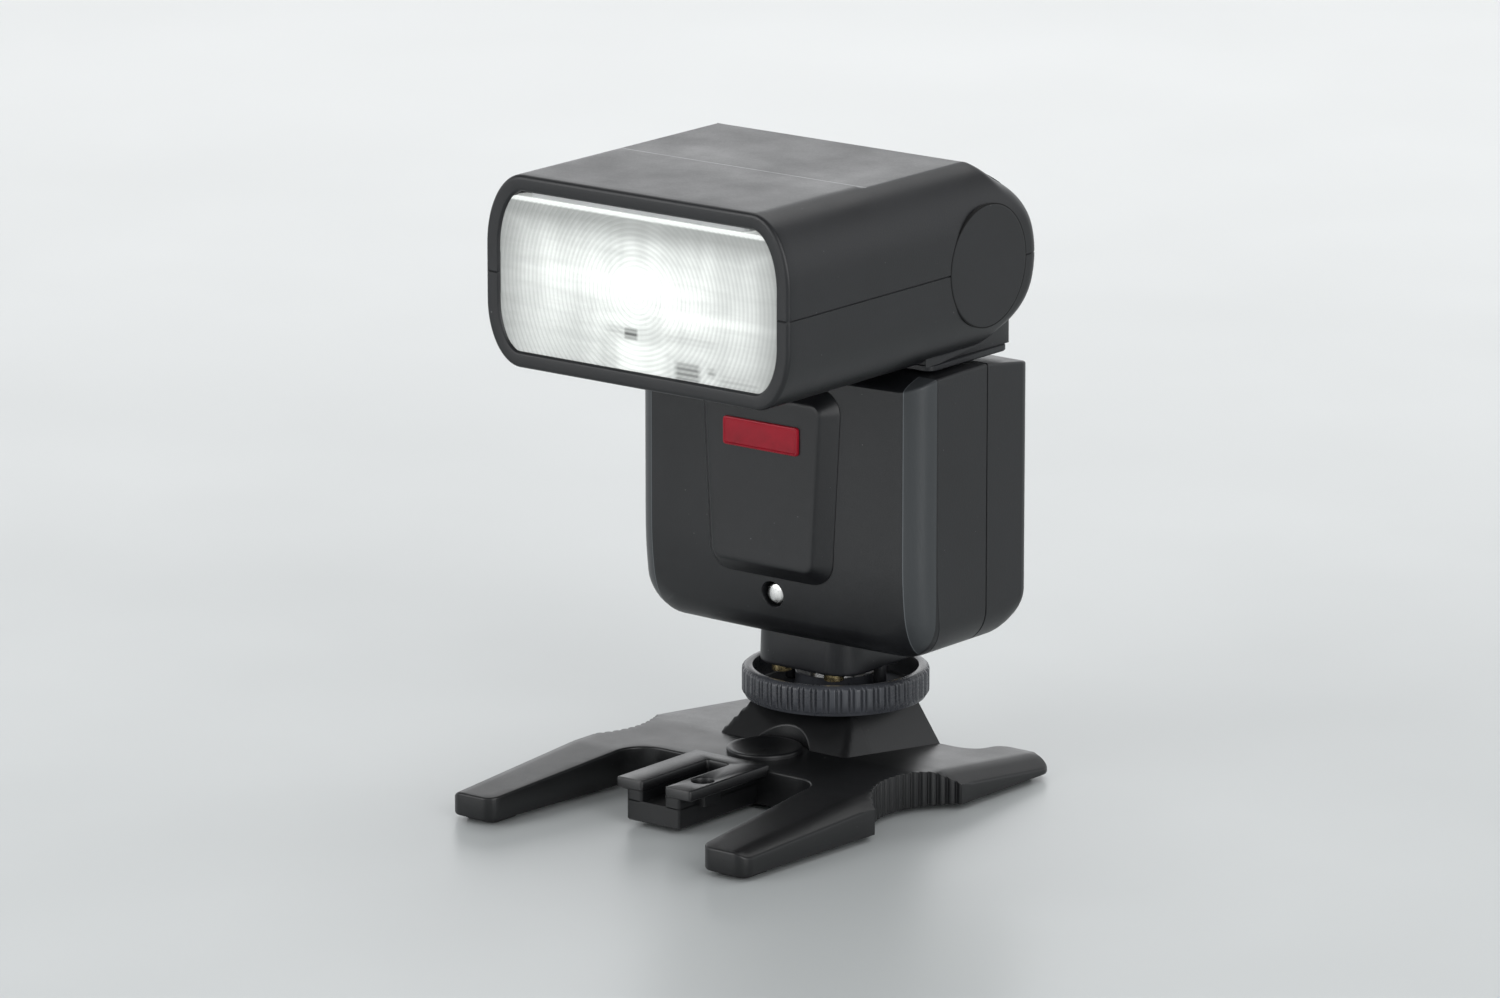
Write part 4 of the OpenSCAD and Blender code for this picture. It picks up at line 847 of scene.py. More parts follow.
def head_ear(low, sign):
    """Half of an ear: sections across the tilt axis. Its outline is a circle about the axis, joined by a
    tangent to the rear edge of the deck, and its outside turns over a round edge that grows towards the
    rear."""
    ear_r = span("head_upper_shell")[1][1] - TILT[1]
    deck, seam = size("deck_half"), size("seam")
    inner = span("turret")[1][0] + EAR_GAP
    points = head_outline(low)[0]
    right = points[:len(points) // 2 + 1]
    ahead = np.linspace(LOWER_REAR - SHELL_OVERLAP, 0.2, 16) if low else [UPPER_REAR - SHELL_OVERLAP]
    y = np.concatenate([ahead, ear_r * np.sin(np.linspace(math.radians(2), math.radians(85), 30))])[:, None]
    behind = np.clip(y, 0, None)
    round_top = np.sqrt(ear_r ** 2 - behind ** 2)
    if low:
        top = np.where(y > 0, round_top, np.interp(y, [-10.0, 0.0], [-HEAD_LOW[2], ear_r]))
    else:
        shoulder = np.interp(deck, right[::-1, 0], right[::-1, 1])
        lean = np.minimum((ear_r - y * math.sin(EAR_LEAN)) / math.cos(EAR_LEAN), shoulder)
        top = np.where(y < ear_r * math.sin(EAR_LEAN), lean, round_top)
    u = np.linspace(0, 1, 44)[None]
    z = top * (1 - (1 - u) ** 2.0)
    side = np.interp(z, right[:, 1], right[:, 0])
    deep = ear_r - np.hypot(behind, z)
    if not low:
        leaning = ear_r - y * math.sin(EAR_LEAN) - z * math.cos(EAR_LEAN)
        deep = np.where(np.arctan2(behind, z) < EAR_LEAN, leaning, deep)
    fillet = size("ear_round") * smooth_step(behind / EAR_BLEND) + 0.01
    x = side - round_in(fillet - deep, fillet) * (y > 0)
    shelf = inner if low else deck + (inner - deck) * smooth_step(y / SHELF_BLEND)
    shelf = np.broadcast_to(shelf, y.shape)
    x = np.clip(x, shelf + 0.05, None)
    x[:, 0] -= seam
    z[:, 1] = seam
    drum = np.clip(np.sqrt(np.clip(DRUM_ROOM ** 2 - behind ** 2, 0, None)), DRUM_FLOOR, None)
    step_z = top - 0.02 if low else np.minimum(drum, top - 0.02)
    x = np.concatenate([x, shelf, shelf, np.full(y.shape, inner), np.full(y.shape, inner)], 1)
    z = np.concatenate([z, top, step_z, step_z - 0.01, np.zeros(y.shape)], 1)
    y = np.broadcast_to(y, x.shape)
    return loft(np.stack([sign * x, y + TILT[1], (-z if low else z) + TILT[2]], -1))


def rear_wall():
    """Wall under the rear edge of the deck: a rectangle drawn along the tilt axis."""
    return drawn(rectangle(*REAR_WALL, 0.1, 2), np.linspace(-30.0, 30.0, 3), TILT[1:])


def pivot_cap(sign):
    """Round cap on an ear: a flat face with a rounded edge, turned about the tilt axis."""
    out = HEAD_HIGH[0]
    k = np.linspace(0, math.pi / 2, 6)
    edge = np.stack([CAP_R - 0.25 + 0.25 * np.cos(k), out - 0.15 + 0.22 * np.sin(k)], 1)
    face = np.stack([np.linspace(CAP_R - 0.5, POLE, 8), np.full(8, out + 0.07)], 1)
    back = [(POLE, out - 1.3), (CAP_R, out - 1.3)]
    return turned(np.concatenate([edge, face, back]), "x", CAP_STEPS, [0, *TILT[1:]], sign)


def cap_shadow_ring(sign):
    """Painted shadow in the gap round a pivot cap, a small rounded section turned about the tilt axis."""
    out = HEAD_HIGH[0]
    profile = [(CAP_R - 0.1, out - 0.6), (CAP_R + 0.14, out - 0.6), (CAP_R + 0.14, out + 0.02),
               (CAP_R + 0.08, out + 0.04), (CAP_R - 0.1, out + 0.04)]
    return turned(profile, "x", CAP_STEPS, [0, *TILT[1:]], sign)


def lens_plate():
    """Lens: rings of a saw tooth about the middle, cut off at a rounded outline. The back is plain."""
    high = span("fresnel_lens")[1]
    pitch, depth = size("groove_pitch"), size("groove_depth")
    front = HEAD_LOW[1] + LENS_BACK + TILT[1]
    a = around(192)
    ray = np.stack([np.cos(a), np.sin(a)], 1)
    reach = (high[2] - TILT[2]) / np.clip(ray[:, 1], 1e-3, None)
    for low in (False, True):
        points, normal = head_outline(low)
        flip = np.array([1.0, -1.0 if low else 1.0])
        normal = normal * flip
        far = ((points * flip * normal).sum(1) - RIM + LENS_LIP)[None] / np.clip(ray @ normal.T, 1e-3, None)
        reach = np.minimum(reach, far.min(1))
    ring = np.arange(1, 48) * pitch
    radii = np.sort(np.concatenate([[POLE], ring - 0.02, ring + 0.02]))
    tooth = depth * (1 - ((radii + 0.01) % pitch) / pitch)
    y = np.broadcast_to((front + depth - tooth)[:, None], (len(radii), len(a))).copy()
    y[radii[:, None] > reach[None]] = front + depth
    r = np.concatenate([np.minimum(radii[:, None], reach[None]), [reach, np.full(len(a), POLE)]])
    y = np.concatenate([y, np.full((2, len(a)), high[1])])
    return loft(np.stack([r * ray[:, 0], y, r * ray[:, 1] + TILT[2]], -1))


def plain_plate(node, radius, bevel):
    """A node's box as a level plate with round corners and eased edges."""
    low, high = span(node)
    h = high[2] - low[2]
    section = [(0, bevel), (bevel, 0), (h - bevel, 0), (h, bevel)]
    loop = rectangle(low[0], high[0], low[1], high[1], radius, 6)
    return slab([loop], section, lambda x, y, z: (x, y, z + low[2]))


def reflector_trough():
    """Reflector: a parabola thickened to a wall and drawn along the tube, with a thin plate over each
    end."""
    low, high = span("reflector")
    half, depth, wall = (high[2] - low[2]) / 2, high[1] - low[1], REFLECTOR_WALL
    z = np.linspace(-1, 1, 49)
    inner = np.stack([high[1] - wall - (depth - wall) * z ** 2, z * (half - wall)], 1)
    outer = np.stack([high[1] - depth * z[::-1] ** 2, z[::-1] * half], 1)
    cheek = (inner + outer[::-1]) / 2
    ends = ((low[0] + 0.05, low[0] + wall), (high[0] - wall, high[0] - 0.05))
    at = [0, TILT[2]]
    trough = drawn(np.concatenate([inner, outer]), np.linspace(low[0], high[0], 5), at)
    return [trough] + [drawn(cheek, x, at) for x in ends]


def tube():
    """Flash tube: glass with drawn-in ends and a metal cap at each end, turned about its own line."""
    low, high = span("flash_tube")
    radius, half = (high[2] - low[2]) / 2, high[0]
    h = np.array([-half, -half + 0.2, -half + 4.0, -half + 4.3, -half + 5.5])
    r = np.array([0.7, 0.85, 0.85, 0.9, 1.0]) * radius
    profile = np.stack([np.concatenate([[POLE], r, r[::-1], [POLE]]),
                        np.concatenate([[-half], h, -h[::-1], [half]])], 1)
    return turned(profile, "x", 32, [0, (low[1] + high[1]) / 2, TILT[2]])


# Body

CORNER_R = 5.5
REAR_CORNER_R = 3.0
BODY_CORNER_R = 8.0
TOP_CORNER_R = 0.6
BODY_WALL = 1.8
SEAM_Y = 2.0
SEAM_GAP = 0.3
SEAM_EDGE = 0.1
FRONT_EDGE = 19.5
FRONT_RISE = 1.7
FRONT_STEP = 0.12
FRONT_ROUND = 1.4
LEVEL_FRONT = -13.0
FRONT_DROP = 1.8
REAR_DROP = 2.1
TOP_BLEND = 12.0
TOE_R = 4.0
TOE_DEPTH = 2.8
TOE_HEIGHT = 20.0
TOE_START = -2.0
DOOR_DEPTH = 1.65
DOOR_THICK = 1.45
DOOR_WRAP = 4.5
DOOR_GAP = 0.15
DOOR_TRAVEL = 4.0
DOOR_TURN = (33.5, 34.5)
DOOR_EDGE = (0.35, 0.7)
DOOR_RIBS = (-2.0, 6.0, 41.0, 49.0)
RIB_PITCH = 1.6
RIB_DEPTH = 0.3
HOLE_R = 2.6
HOLE_STEPS = 40
HOLE_RIM = ((HOLE_R + 0.15, 0.0), (HOLE_R, 0.15), (HOLE_R, 2.9))
PANEL_HALF = (12.3, 14.2)
PANEL_TALL = 17.0
PANEL_CORNER_R = 2.2


def front_bow(x):
    """How far the body's front bows out at a distance from its middle: a parabola."""
    return FRONT_RISE * np.clip(1 - (x / (BODY_HIGH[0] - CORNER_R)) ** 2, 0, None)


def door_edges():
    """Heights of the upper and lower edge of the recess that takes the battery door. The lower one lies
    on the round lower corner, so the door has room to slide down."""
    top = span("battery_door")[1][2] + DOOR_GAP
    return top, BODY_LOW[2] + round_in(BODY_CORNER_R - DOOR_WRAP, BODY_CORNER_R)


def body_outline():
    """The body as seen from the front: level top, upright sides and round lower corners. Each edge of the
    door's recess on the left side has a point above and below it."""
    x, z0, z1 = BODY_HIGH[0], BODY_LOW[2], BODY_HIGH[2]
    radii = [BODY_CORNER_R, TOP_CORNER_R, TOP_CORNER_R, BODY_CORNER_R]
    loop = dense(rectangle(-x, x, z0, z1, radii, 10), 3.0)
    for edge in door_edges():
        loop = loop[(loop[:, 0] > 0) | (np.abs(loop[:, 1] - edge) > 0.3)]
        row = np.argmax((loop[:, 0] < 0) & (loop[:, 1] < edge))
        at = round_in(z0 + BODY_CORNER_R - edge, BODY_CORNER_R) - x
        loop = np.insert(loop, row, [(at, edge + 0.02), (at, edge - 0.02)], axis=0)
    return loop


def recess(rows, loop, first, last):
    """Draws the skin in where the battery door lies, along the outline's normal: on the rings from the
    first up to the last, between the recess's edges."""
    top, low = door_edges()
    side = (loop[:, 0] < 0) & (loop[:, 1] < top) & (loop[:, 1] > low)
    rows[first:last, :, ::2] -= DOOR_DEPTH * side[:, None] * outward(loop)


def body_top(y):
    """How far the body's top lies under its highest level at a distance behind the shoe's axis."""
    front = FRONT_DROP * np.clip((LEVEL_FRONT - y) / (FRONT_EDGE + FRONT_RISE + LEVEL_FRONT), 0, 1)
    rear = REAR_DROP * np.clip((y - SEAM_Y) / (BODY_HIGH[1] - SHOE_Y - SEAM_Y), 0, 1)
    return front + rear


def toe_lean(y, z):
    """How far the front of the body leans back near its foot: a parabola of the height, which fades away
    from the front."""
    low = np.clip(1 - (z - BODY_LOW[2]) / TOE_HEIGHT, 0, 1)
    return TOE_DEPTH * low ** 2 * np.clip((TOE_START - y) / (FRONT_EDGE + TOE_START), 0, 1)


def body_rows(loop, y, side, ends, lift):
    """Rings of the body's skin: the outline at a distance y behind the shoe's axis, drawn in by side on
    the flanks and by ends at the top and the bottom. The top falls, the bottom rises by lift, and the
    foot of the front leans back."""
    y, side, ends, lift = (np.asarray(v, float)[:, None] for v in (y, side, ends, lift))
    low, high = loop[:, 1].min(), loop[:, 1].max()
    mid, tall = (low + high) / 2, (high - low) / 2
    x = loop[:, 0][None] * (1 - side / BODY_HIGH[0])
    z = mid + (loop[:, 1][None] - mid) * (1 - ends / tall)
    z = z - body_top(y) * np.clip(1 - (high - loop[:, 1]) / TOP_BLEND, 0, 1)[None]
    z = z + lift * np.clip(1 - (loop[:, 1] - low) / TOP_BLEND, 0, 1)[None]
    return np.stack([x, y + toe_lean(y, z), z], -1)


def front_rows(loop):
    """Rings of the front half from its inside over the seam and forward along the side, then round a
    quarter circle of a corner with a hair step at each end, up to the edge of the bowed face."""
    k = np.radians(np.concatenate([np.linspace(0, DOOR_TURN[0], 7), np.linspace(DOOR_TURN[1], 84, 9)]))
    start, seam = -FRONT_EDGE + CORNER_R, SEAM_Y - SEAM_GAP / 2
    walls = [4.2, BODY_WALL, BODY_WALL, SEAM_EDGE, 0, 0, 0]
    y = np.concatenate([[-15.5, -12.0, seam, seam, seam - SEAM_EDGE, -6.0, start + FRONT_STEP],
                        start - CORNER_R * np.sin(k), [-FRONT_EDGE + 0.02]])
    side = np.concatenate([walls, CORNER_R * (1 - np.cos(k)) + FRONT_STEP, [CORNER_R - 0.05]])
    ends = np.concatenate([walls, FRONT_ROUND * (1 - np.cos(k)), [1.5]])
    rows = body_rows(loop, y, side, ends, round_in(TOE_R - FRONT_EDGE - y, TOE_R))
    bow = np.concatenate([np.zeros(len(walls)), np.sin(k), [1.0]])[:, None]
    rows[..., 1] -= front_bow(rows[..., 0]) * bow
    recess(rows, loop, 3, 14)
    return rows


def screw_hole(x, z):
    """Rings of the screw's hole in the front, from its eased mouth to its floor."""
    ring = circle(1.0, HOLE_STEPS, 0.0, 0.0, clockwise=True)
    rows = np.stack([np.column_stack([x + r * ring[:, 0], np.full(HOLE_STEPS, d), z + r * ring[:, 1]])
                     for r, d in HOLE_RIM])
    rows[..., 1] += toe_lean(-FRONT_EDGE, rows[..., 2]) - FRONT_EDGE - FRONT_RISE
    return rows


def front_case():
    """Front half of the case, a hollow basin: its rings are shut by an inner face and by a bowed front
    with the screw's hole."""
    rows = front_rows(body_outline())
    count, cols = rows.shape[:2]
    x, _, z = middle("case_screw")
    hole = screw_hole(x, z)
    verts = np.concatenate([rows.reshape(-1, 3), hole.reshape(-1, 3)])
    base = count * cols
    front_ring = base - cols + np.arange(cols)
    hole_ring = base + np.arange(HOLE_STEPS)
    floor = hole_ring[None, ::-1] + (len(hole) - 1) * HOLE_STEPS
    grid = lattice(rows[-1][:, ::2], 3.0, [circle(HOLE_R + 0.6, HOLE_STEPS, x, z)])
    grid_y = -FRONT_EDGE - front_bow(grid[:, 0]) + toe_lean(-FRONT_EDGE, grid[:, 1])
    grid = np.column_stack([grid[:, 0], grid_y, grid[:, 1]])
    verts, inner = shut(verts, [np.arange(cols)], (0, 2), -1)
    verts, face = shut(verts, [front_ring, hole_ring], (0, 2), 1, grid)
    faces = [quads(count, cols), quads(len(hole), HOLE_STEPS, base)[:, ::-1], inner, face, floor]
    return closed(verts + [0, SHOE_Y, 0], faces)


def rear_case():
    """Rear half of the case, a hollow basin: rings of the outline run back along the side, round the rear
    corners and up the heel, and a flat face shuts it."""
    loop = body_outline()
    rear, seam = BODY_HIGH[1] - SHOE_Y, SEAM_Y + SEAM_GAP / 2
    k = np.radians(np.linspace(0, 88, 12))
    turn_in = REAR_CORNER_R * (1 - np.cos(k))
    heel = np.linspace(rear - BODY_CORNER_R, rear - REAR_CORNER_R, 6)
    y = np.concatenate([[rear - BODY_WALL, rear - 3.0, rear - 5.5, rear - 8.0, seam, seam],
                        [seam + SEAM_EDGE], heel, rear - REAR_CORNER_R + REAR_CORNER_R * np.sin(k)])
    side = np.concatenate([[3.0], [BODY_WALL] * 4, [SEAM_EDGE, 0], heel * 0, turn_in])
    ends = np.concatenate([[BODY_WALL] * 5, [SEAM_EDGE, 0], heel * 0, 0.4 * turn_in / REAR_CORNER_R])
    radius = np.where(np.arange(len(y)) < 5, BODY_CORNER_R - BODY_WALL, BODY_CORNER_R)
    rows = body_rows(loop, y, side, ends, round_in(y - rear + BODY_CORNER_R, radius))
    recess(rows, loop, 5, 7 + len(heel))
    count, cols = rows.shape[:2]
    ring = np.arange(cols)
    verts, inner = shut(rows.reshape(-1, 3), [ring], (0, 2), -1)
    verts, face = shut(verts, [ring + (count - 1) * cols], (0, 2), 1)
    return closed(verts + [0, SHOE_Y, 0], [quads(count, cols), inner, face])


def door_plate():
    """Battery door: a patch of the body's left side over distance and height, thickened inwards. It
    follows the round front and lower corners and the lean of the front, falls away at its edges, and has
    finger grooves near its lower end."""
    low, high = span("battery_door")
    y = (low[1] - SHOE_Y + (high[1] - low[1]) * np.linspace(0, 1, 60))[:, None]
    z = (low[2] + (high[2] - low[2]) * np.linspace(0, 1, 90))[None]
    inset = round_in(-FRONT_EDGE + CORNER_R - y, CORNER_R)
    inset = inset + round_in(BODY_LOW[2] + BODY_CORNER_R - z, BODY_CORNER_R) - BODY_HIGH[0]
    rim = np.minimum(np.minimum(y - y[0], y[-1] - y), np.minimum(z - z[0, 0], z[0, -1] - z))
    ease = DOOR_EDGE[0] * (1 - smooth_step(rim / DOOR_EDGE[1]))
    rib_y, rib_half, rib_low, rib_high = DOOR_RIBS
    ribs = (np.abs(y - rib_y) < rib_half) & (z > rib_low) & (z < rib_high)
    ribs = RIB_DEPTH * np.clip(np.sin((z - rib_low) * 2 * np.pi / RIB_PITCH), 0, None) * ribs
    leaned = y + toe_lean(y, z - DOOR_TRAVEL)
    skins = (inset + ease + ribs, inset + DOOR_THICK)
    layers = [np.stack(np.broadcast_arrays(x, leaned, z), -1) for x in skins]
    rows, cols = layers[0].shape[:2]
    count = rows * cols
    verts = np.concatenate(layers).reshape(-1, 3)
    skin = quads(rows, cols, ring=False)
    border = np.concatenate([np.arange(cols), np.arange(1, rows) * cols + cols - 1,
                             count - 2 - np.arange(cols - 1), np.arange(rows - 2, 0, -1) * cols])
    after = np.roll(border, -1)
    wall = np.stack([after, border, border + count, after + count], -1)
    return closed(verts + [0, SHOE_Y, 0], [skin, skin[:, ::-1] + count, wall])


def front_plate():
    """Raised front panel: a tapered outline whose flank is a straight slope with crisp ends, from the
    bowed front up to a level face."""
    mid = middle("front_panel")[2]
    rise = SHOE_Y - span("front_panel")[0][1] - FRONT_EDGE - FRONT_RISE
    low, high = mid - PANEL_TALL, mid + PANEL_TALL
    foot, head = PANEL_HALF
    loop = corners([(foot, low), (head, high), (-head, high), (-foot, low)], PANEL_CORNER_R, 10)
    section = [(-0.9, -2.75), (0.1, -2.75), (0.25, -2.6), (1.2, -1.5), (2.1, -0.5), (2.45, -0.1),
               (2.6, 0.12), (2.67, 0.45), (rise, 0.9), (rise, 1.5)]

    def place(x, z, h):
        k = np.clip(h / rise, 0, 1)
        return x, SHOE_Y - FRONT_EDGE - front_bow(x) * (1 - k) - FRONT_RISE * k - h, z

    return slab([loop], section, place)


def badge_plate():
    """Badge: a plate with a raised bevelled edge round a bare field."""
    low, high = span("badge")
    h = high[1] - low[1]
    section = [(0, 0), (h - 0.2, 0), (h - 0.05, 0.08), (h, 0.22), (h, 0.4), (h - 0.14, 0.55),
               (h - 0.14, 0.62)]
    loop = rectangle(low[0], high[0], low[2], high[2], 0.7, 5)
    return slab([loop], section, lambda x, z, d: (x, high[1] - d, z))


def screw(node):
    """Domed screw head on a plain shank, turned about its own line."""
    low, high = span(node)
    r, head, shank = (high[0] - low[0]) / 2, low[1] + 1.3, 1.0
    k = np.linspace(POLE, math.pi / 2, 9)
    dome = np.stack([r * np.sin(k), low[1] + 0.5 * (1 - np.cos(k))], 1)
    rest = [(r, head), (shank, head), (shank, high[1]), (POLE, high[1])]
    return turned(np.concatenate([dome, rest]), "y", 40, (low + high) / 2 * [1, 0, 1])


# Foot

RING_WALL = 2.2
RING_BORE = 6.05
RING_HUB = 8.05
RING_GROOVES = (0.36, 0.72)
GROOVE_WIDE = 0.2
GROOVE_STEPS = 24
NECK_GAP = 1.1
NECK_CORNER_R = 6.0
POST_R = 1.3


def grip_ring():
    """Lock ring: a hollow dish turned about the shoe. Its rim has a broad and a thin grip rib by turns
    above a plain lip: the radius falls by bell curves of the distance to the two grooves of each turn."""
    low, high = span("lock_ring")
    z0, z1, r = low[2], high[2], (high[0] - low[0]) / 2
    rim, bore, hub = r - RING_WALL, RING_BORE, RING_HUB
    profile = np.array([
        (bore, z0), (r - 1.0, z0), (r - 0.62, z0 + 0.12), (r - 0.5, z0 + 0.35), (r - 0.5, z0 + 0.7),
        (r - 0.42, z0 + 0.85), (r - 0.12, z0 + 0.9), (r, z0 + 1.1), (r, z0 + 2.5), (r, z1 - 0.9),
        (r - 0.06, z1 - 0.6), (r - 0.4, z1 - 0.3), (r - 0.75, z1 - 0.06), (r - 0.95, z1), (rim + 0.45, z1),
        (rim + 0.12, z1 - 0.12), (rim, z1 - 0.45), (rim, z0 + 1.4), (rim - 0.2, z0 + 1.2),
        (hub + 0.2, z0 + 1.2), (hub, z0 + 1.4), (hub, z1 - 1.2), (hub - 0.2, z1 - 1.0), (bore, z1 - 1.0)])
    radius, h = profile.T[:, None]
    teeth = bpy.context.scene.flash_sizes.teeth
    a = around(teeth * GROOVE_STEPS)[:, None]
    turn = (a * teeth / (2 * np.pi)) % 1.0
    pitch = 2 * np.pi * r / teeth
    groove = sum(np.exp(-((turn - place) * pitch / GROOVE_WIDE) ** 2) for place in RING_GROOVES)
    cut = smooth_step((h - z0 - 0.8) / 0.3) * smooth_step((z1 - 0.25 - h) / 0.35) * (radius > r - 0.9)
    radius = radius - size("tooth_depth") * groove * cut
    rows = np.stack([radius * np.cos(a), radius * np.sin(a) + SHOE_Y, np.broadcast_to(h, radius.shape)], -1)
    return loft(rows, ends=False)


def neck():
    """Neck: a rounded block with a softened lower edge, and two round posts that stand in the ring."""
    low, high = span("foot_neck")
    foot, top = span("lock_ring")[1][2] + NECK_GAP, BODY_LOW[2] + 1.0
    section = [(foot, 1.0), (foot + 0.1, 0.55), (foot + 0.4, 0.15), (foot + 0.9, 0.0), (top, 0.25)]
    block = slab([rectangle(low[0], high[0], low[1], high[1], NECK_CORNER_R, 12)], section, upright)
    post = [(POLE, low[2]), (POST_R - 0.3, low[2]), (POST_R, low[2] + 0.3), (POST_R, foot + 0.5),
            (POLE, foot + 0.5)]
    return [block] + [turned(post, "z", 24, [x, SHOE_Y, 0]) for x in (low[0] + POST_R, high[0] - POST_R)]


# Stand, with places across and behind the shoe's axis

STAND_FOOT = 1.2
PLATE_TOP = 8.4
PLATE_STOPS = ((-76.0, 5.8), (-40.0, PLATE_TOP), (-17.5, PLATE_TOP), (20.5, 4.5))
PLATE_EDGE = 0.45
OUTER_EDGE = 34.3
OUTER_SLOPE = 0.575
NOTCH = (48.8, -23.5, 17.3)
NOTCH_TURN = (231.2, 126.5)
NOTCH_LINES = (227, 130, 17)
NOTCH_LINE = (0.45, 0.34)
NOTCH_EDGE = 0.12
BOSS = (0.0, -22.9, 7.5)
BOSS_TOP = 9.4
BOSS_BEAD = 0.45
BOSS_DISH = 0.75
ARCH_R = 8.7
PEDESTAL_TOP = 15.0
PEDESTAL_HALF = 12.0
PEDESTAL_FOOT = 4.4
PEDESTAL_FRONT = -17.5
PEDESTAL_JOIN = -9.0
PEDESTAL_REAR = 11.3
REAR_LEAN = 1.3 / 9.6
FRONT_SLOPE = 0.985
SIDE_SLOPE = 1.74
SOCKET_HALF = 6.35
SOCKET_ROOF = 1.7
TONGUE = (-58.0, -33.0)
TONGUE_SLOT = (2.75, -37.5)
TONGUE_LIP = (9.2, 7.2, 9.4)
TONGUE_STEM = (6.6, 5.2, 7.4)
TONGUE_HOLE = (5.98, -50.0, 2.2)
PADS = ((31.0, -69.5), (32.0, 14.0))


def stand_outline():
    """The stand from above: front arms beside a bay, a ribbed thumb notch on each side, rear arms and a
    rear bay. Each notch is a circle whose radius grows by bell curves at its grooves."""
    x, y, r = NOTCH
    depth, wide = NOTCH_LINE
    turn = np.linspace(*NOTCH_TURN, 260)
    line = np.linspace(*NOTCH_LINES)[:, None]
    reach = r + depth * np.exp(-(np.radians(turn[None] - line) * r / wide) ** 2).sum(0)
    notch = np.stack([x + reach * np.cos(np.radians(turn)), y + reach * np.sin(np.radians(turn))], 1)
    right = np.concatenate([
        arc(17, -40, 6, 90, 0), arc(28.5, -73, 3, 180, 270), arc(33.5, -73, 3, 270, 360), notch,
        arc(35.5, 17.5, 3, 0, 90), arc(28.5, 17.5, 3, 90, 180), arc(21.5, 15.3, 4, 0, -90)])
    return dense(np.concatenate([right, right[::-1] * [-1, 1]]), 1.2)


def plate_height(x, y):
    """Top of the stand's plate: it falls towards the front tips and, behind the boss, towards the rear
    ends, and its outer edges slope down."""
    level = np.interp(y, *zip(*PLATE_STOPS))
    out = np.abs(x) - OUTER_EDGE
    return level - OUTER_SLOPE * (out + np.sqrt(out ** 2 + 0.06)) / 2


def pedestal_height(x, y):
    """Top of the pedestal's front: the least of its front slope, its side slopes and its level top."""
    front = PLATE_TOP + (y - PEDESTAL_FRONT) * FRONT_SLOPE
    side = PEDESTAL_TOP - (np.abs(x) - PEDESTAL_HALF) * SIDE_SLOPE
    return soft_least(soft_least(front, side, 0.5), np.full_like(x, PEDESTAL_TOP), 0.4)


def stand_plate():
    """Plate of the stand. Its upper edge is well rounded but for the notches."""
    loop = stand_outline()
    notched = (np.abs(loop[:, 1] - NOTCH[1]) < 16.5) & (np.abs(loop[:, 0]) > 31)
    return relief(loop, STAND_FOOT, plate_height, np.where(notched, NOTCH_EDGE, PLATE_EDGE), 1.6)


def pedestal_front():
    """Front part of the pedestal, with the round cut behind the boss."""
    x, y, _ = BOSS
    foot = PEDESTAL_FRONT - 0.3
    reach = math.degrees(math.acos((foot - y) / ARCH_R))
    cut = arc(x, y, ARCH_R, 90 + reach, 90 - reach, 40)
    flanks = [(16.2, foot), (16.6, PEDESTAL_JOIN), (-16.6, PEDESTAL_JOIN), (-16.2, foot)]
    loop = dense(np.concatenate([cut, flanks]), 0.8)
    return relief(loop, PLATE_TOP - 2.2, pedestal_height, 0.22, 0.9)


def pedestal_rear():
    """Rear part of the pedestal: a section with the shoe's slot, drawn back to a leaning rear face."""
    low, high = span("shoe_plate")
    wide, roof, floor = high[0] + 0.15, PEDESTAL_TOP - SOCKET_ROOF, low[2] - 0.3
    foot = PEDESTAL_HALF + (PEDESTAL_TOP - PEDESTAL_FOOT) / SIDE_SLOPE
    right = [(foot, PEDESTAL_FOOT), (PEDESTAL_HALF, PEDESTAL_TOP), (SOCKET_HALF, PEDESTAL_TOP),
             (SOCKET_HALF, roof), (wide, roof), (wide, floor)]
    loop = corners(right + [(-x, z) for x, z in right[::-1]], [0.2, 0.5] + [0.15] * 8 + [0.5, 0.2], 4)
    depth = PEDESTAL_REAR

    def place(x, z, h):
        lean = REAR_LEAN * (z - 5.4) * np.clip(h / depth, 0, 1)
        return x, SHOE_Y + h - lean, z

    return slab([loop], [(PEDESTAL_JOIN - 0.2, 0), (depth - 0.12, 0), (depth, 0.12)], place)


def stand_boss():
    """Round boss over the tripod bush: a dished disc with a beaded edge and a small pip, turned about its
    own line."""
    x, y, r = BOSS
    k = np.linspace(0, np.pi / 2, 6)
    bead = BOSS_BEAD
    edge = np.stack([r - bead + bead * np.cos(k), BOSS_TOP - bead + bead * np.sin(k)], 1)
    ring = np.linspace(r - 2 * bead, POLE, 14)
    pip = 0.12 * np.exp(-(ring / 0.45) ** 2)
    dish = np.stack([ring, BOSS_TOP - 0.05 - BOSS_DISH * (1 - (ring / ring[0]) ** 2) + pip], 1)
    return turned(np.concatenate([edge, dish, [(POLE, 7.0), (r, 7.0)]]), "z", 72, [x, SHOE_Y + y, 0])


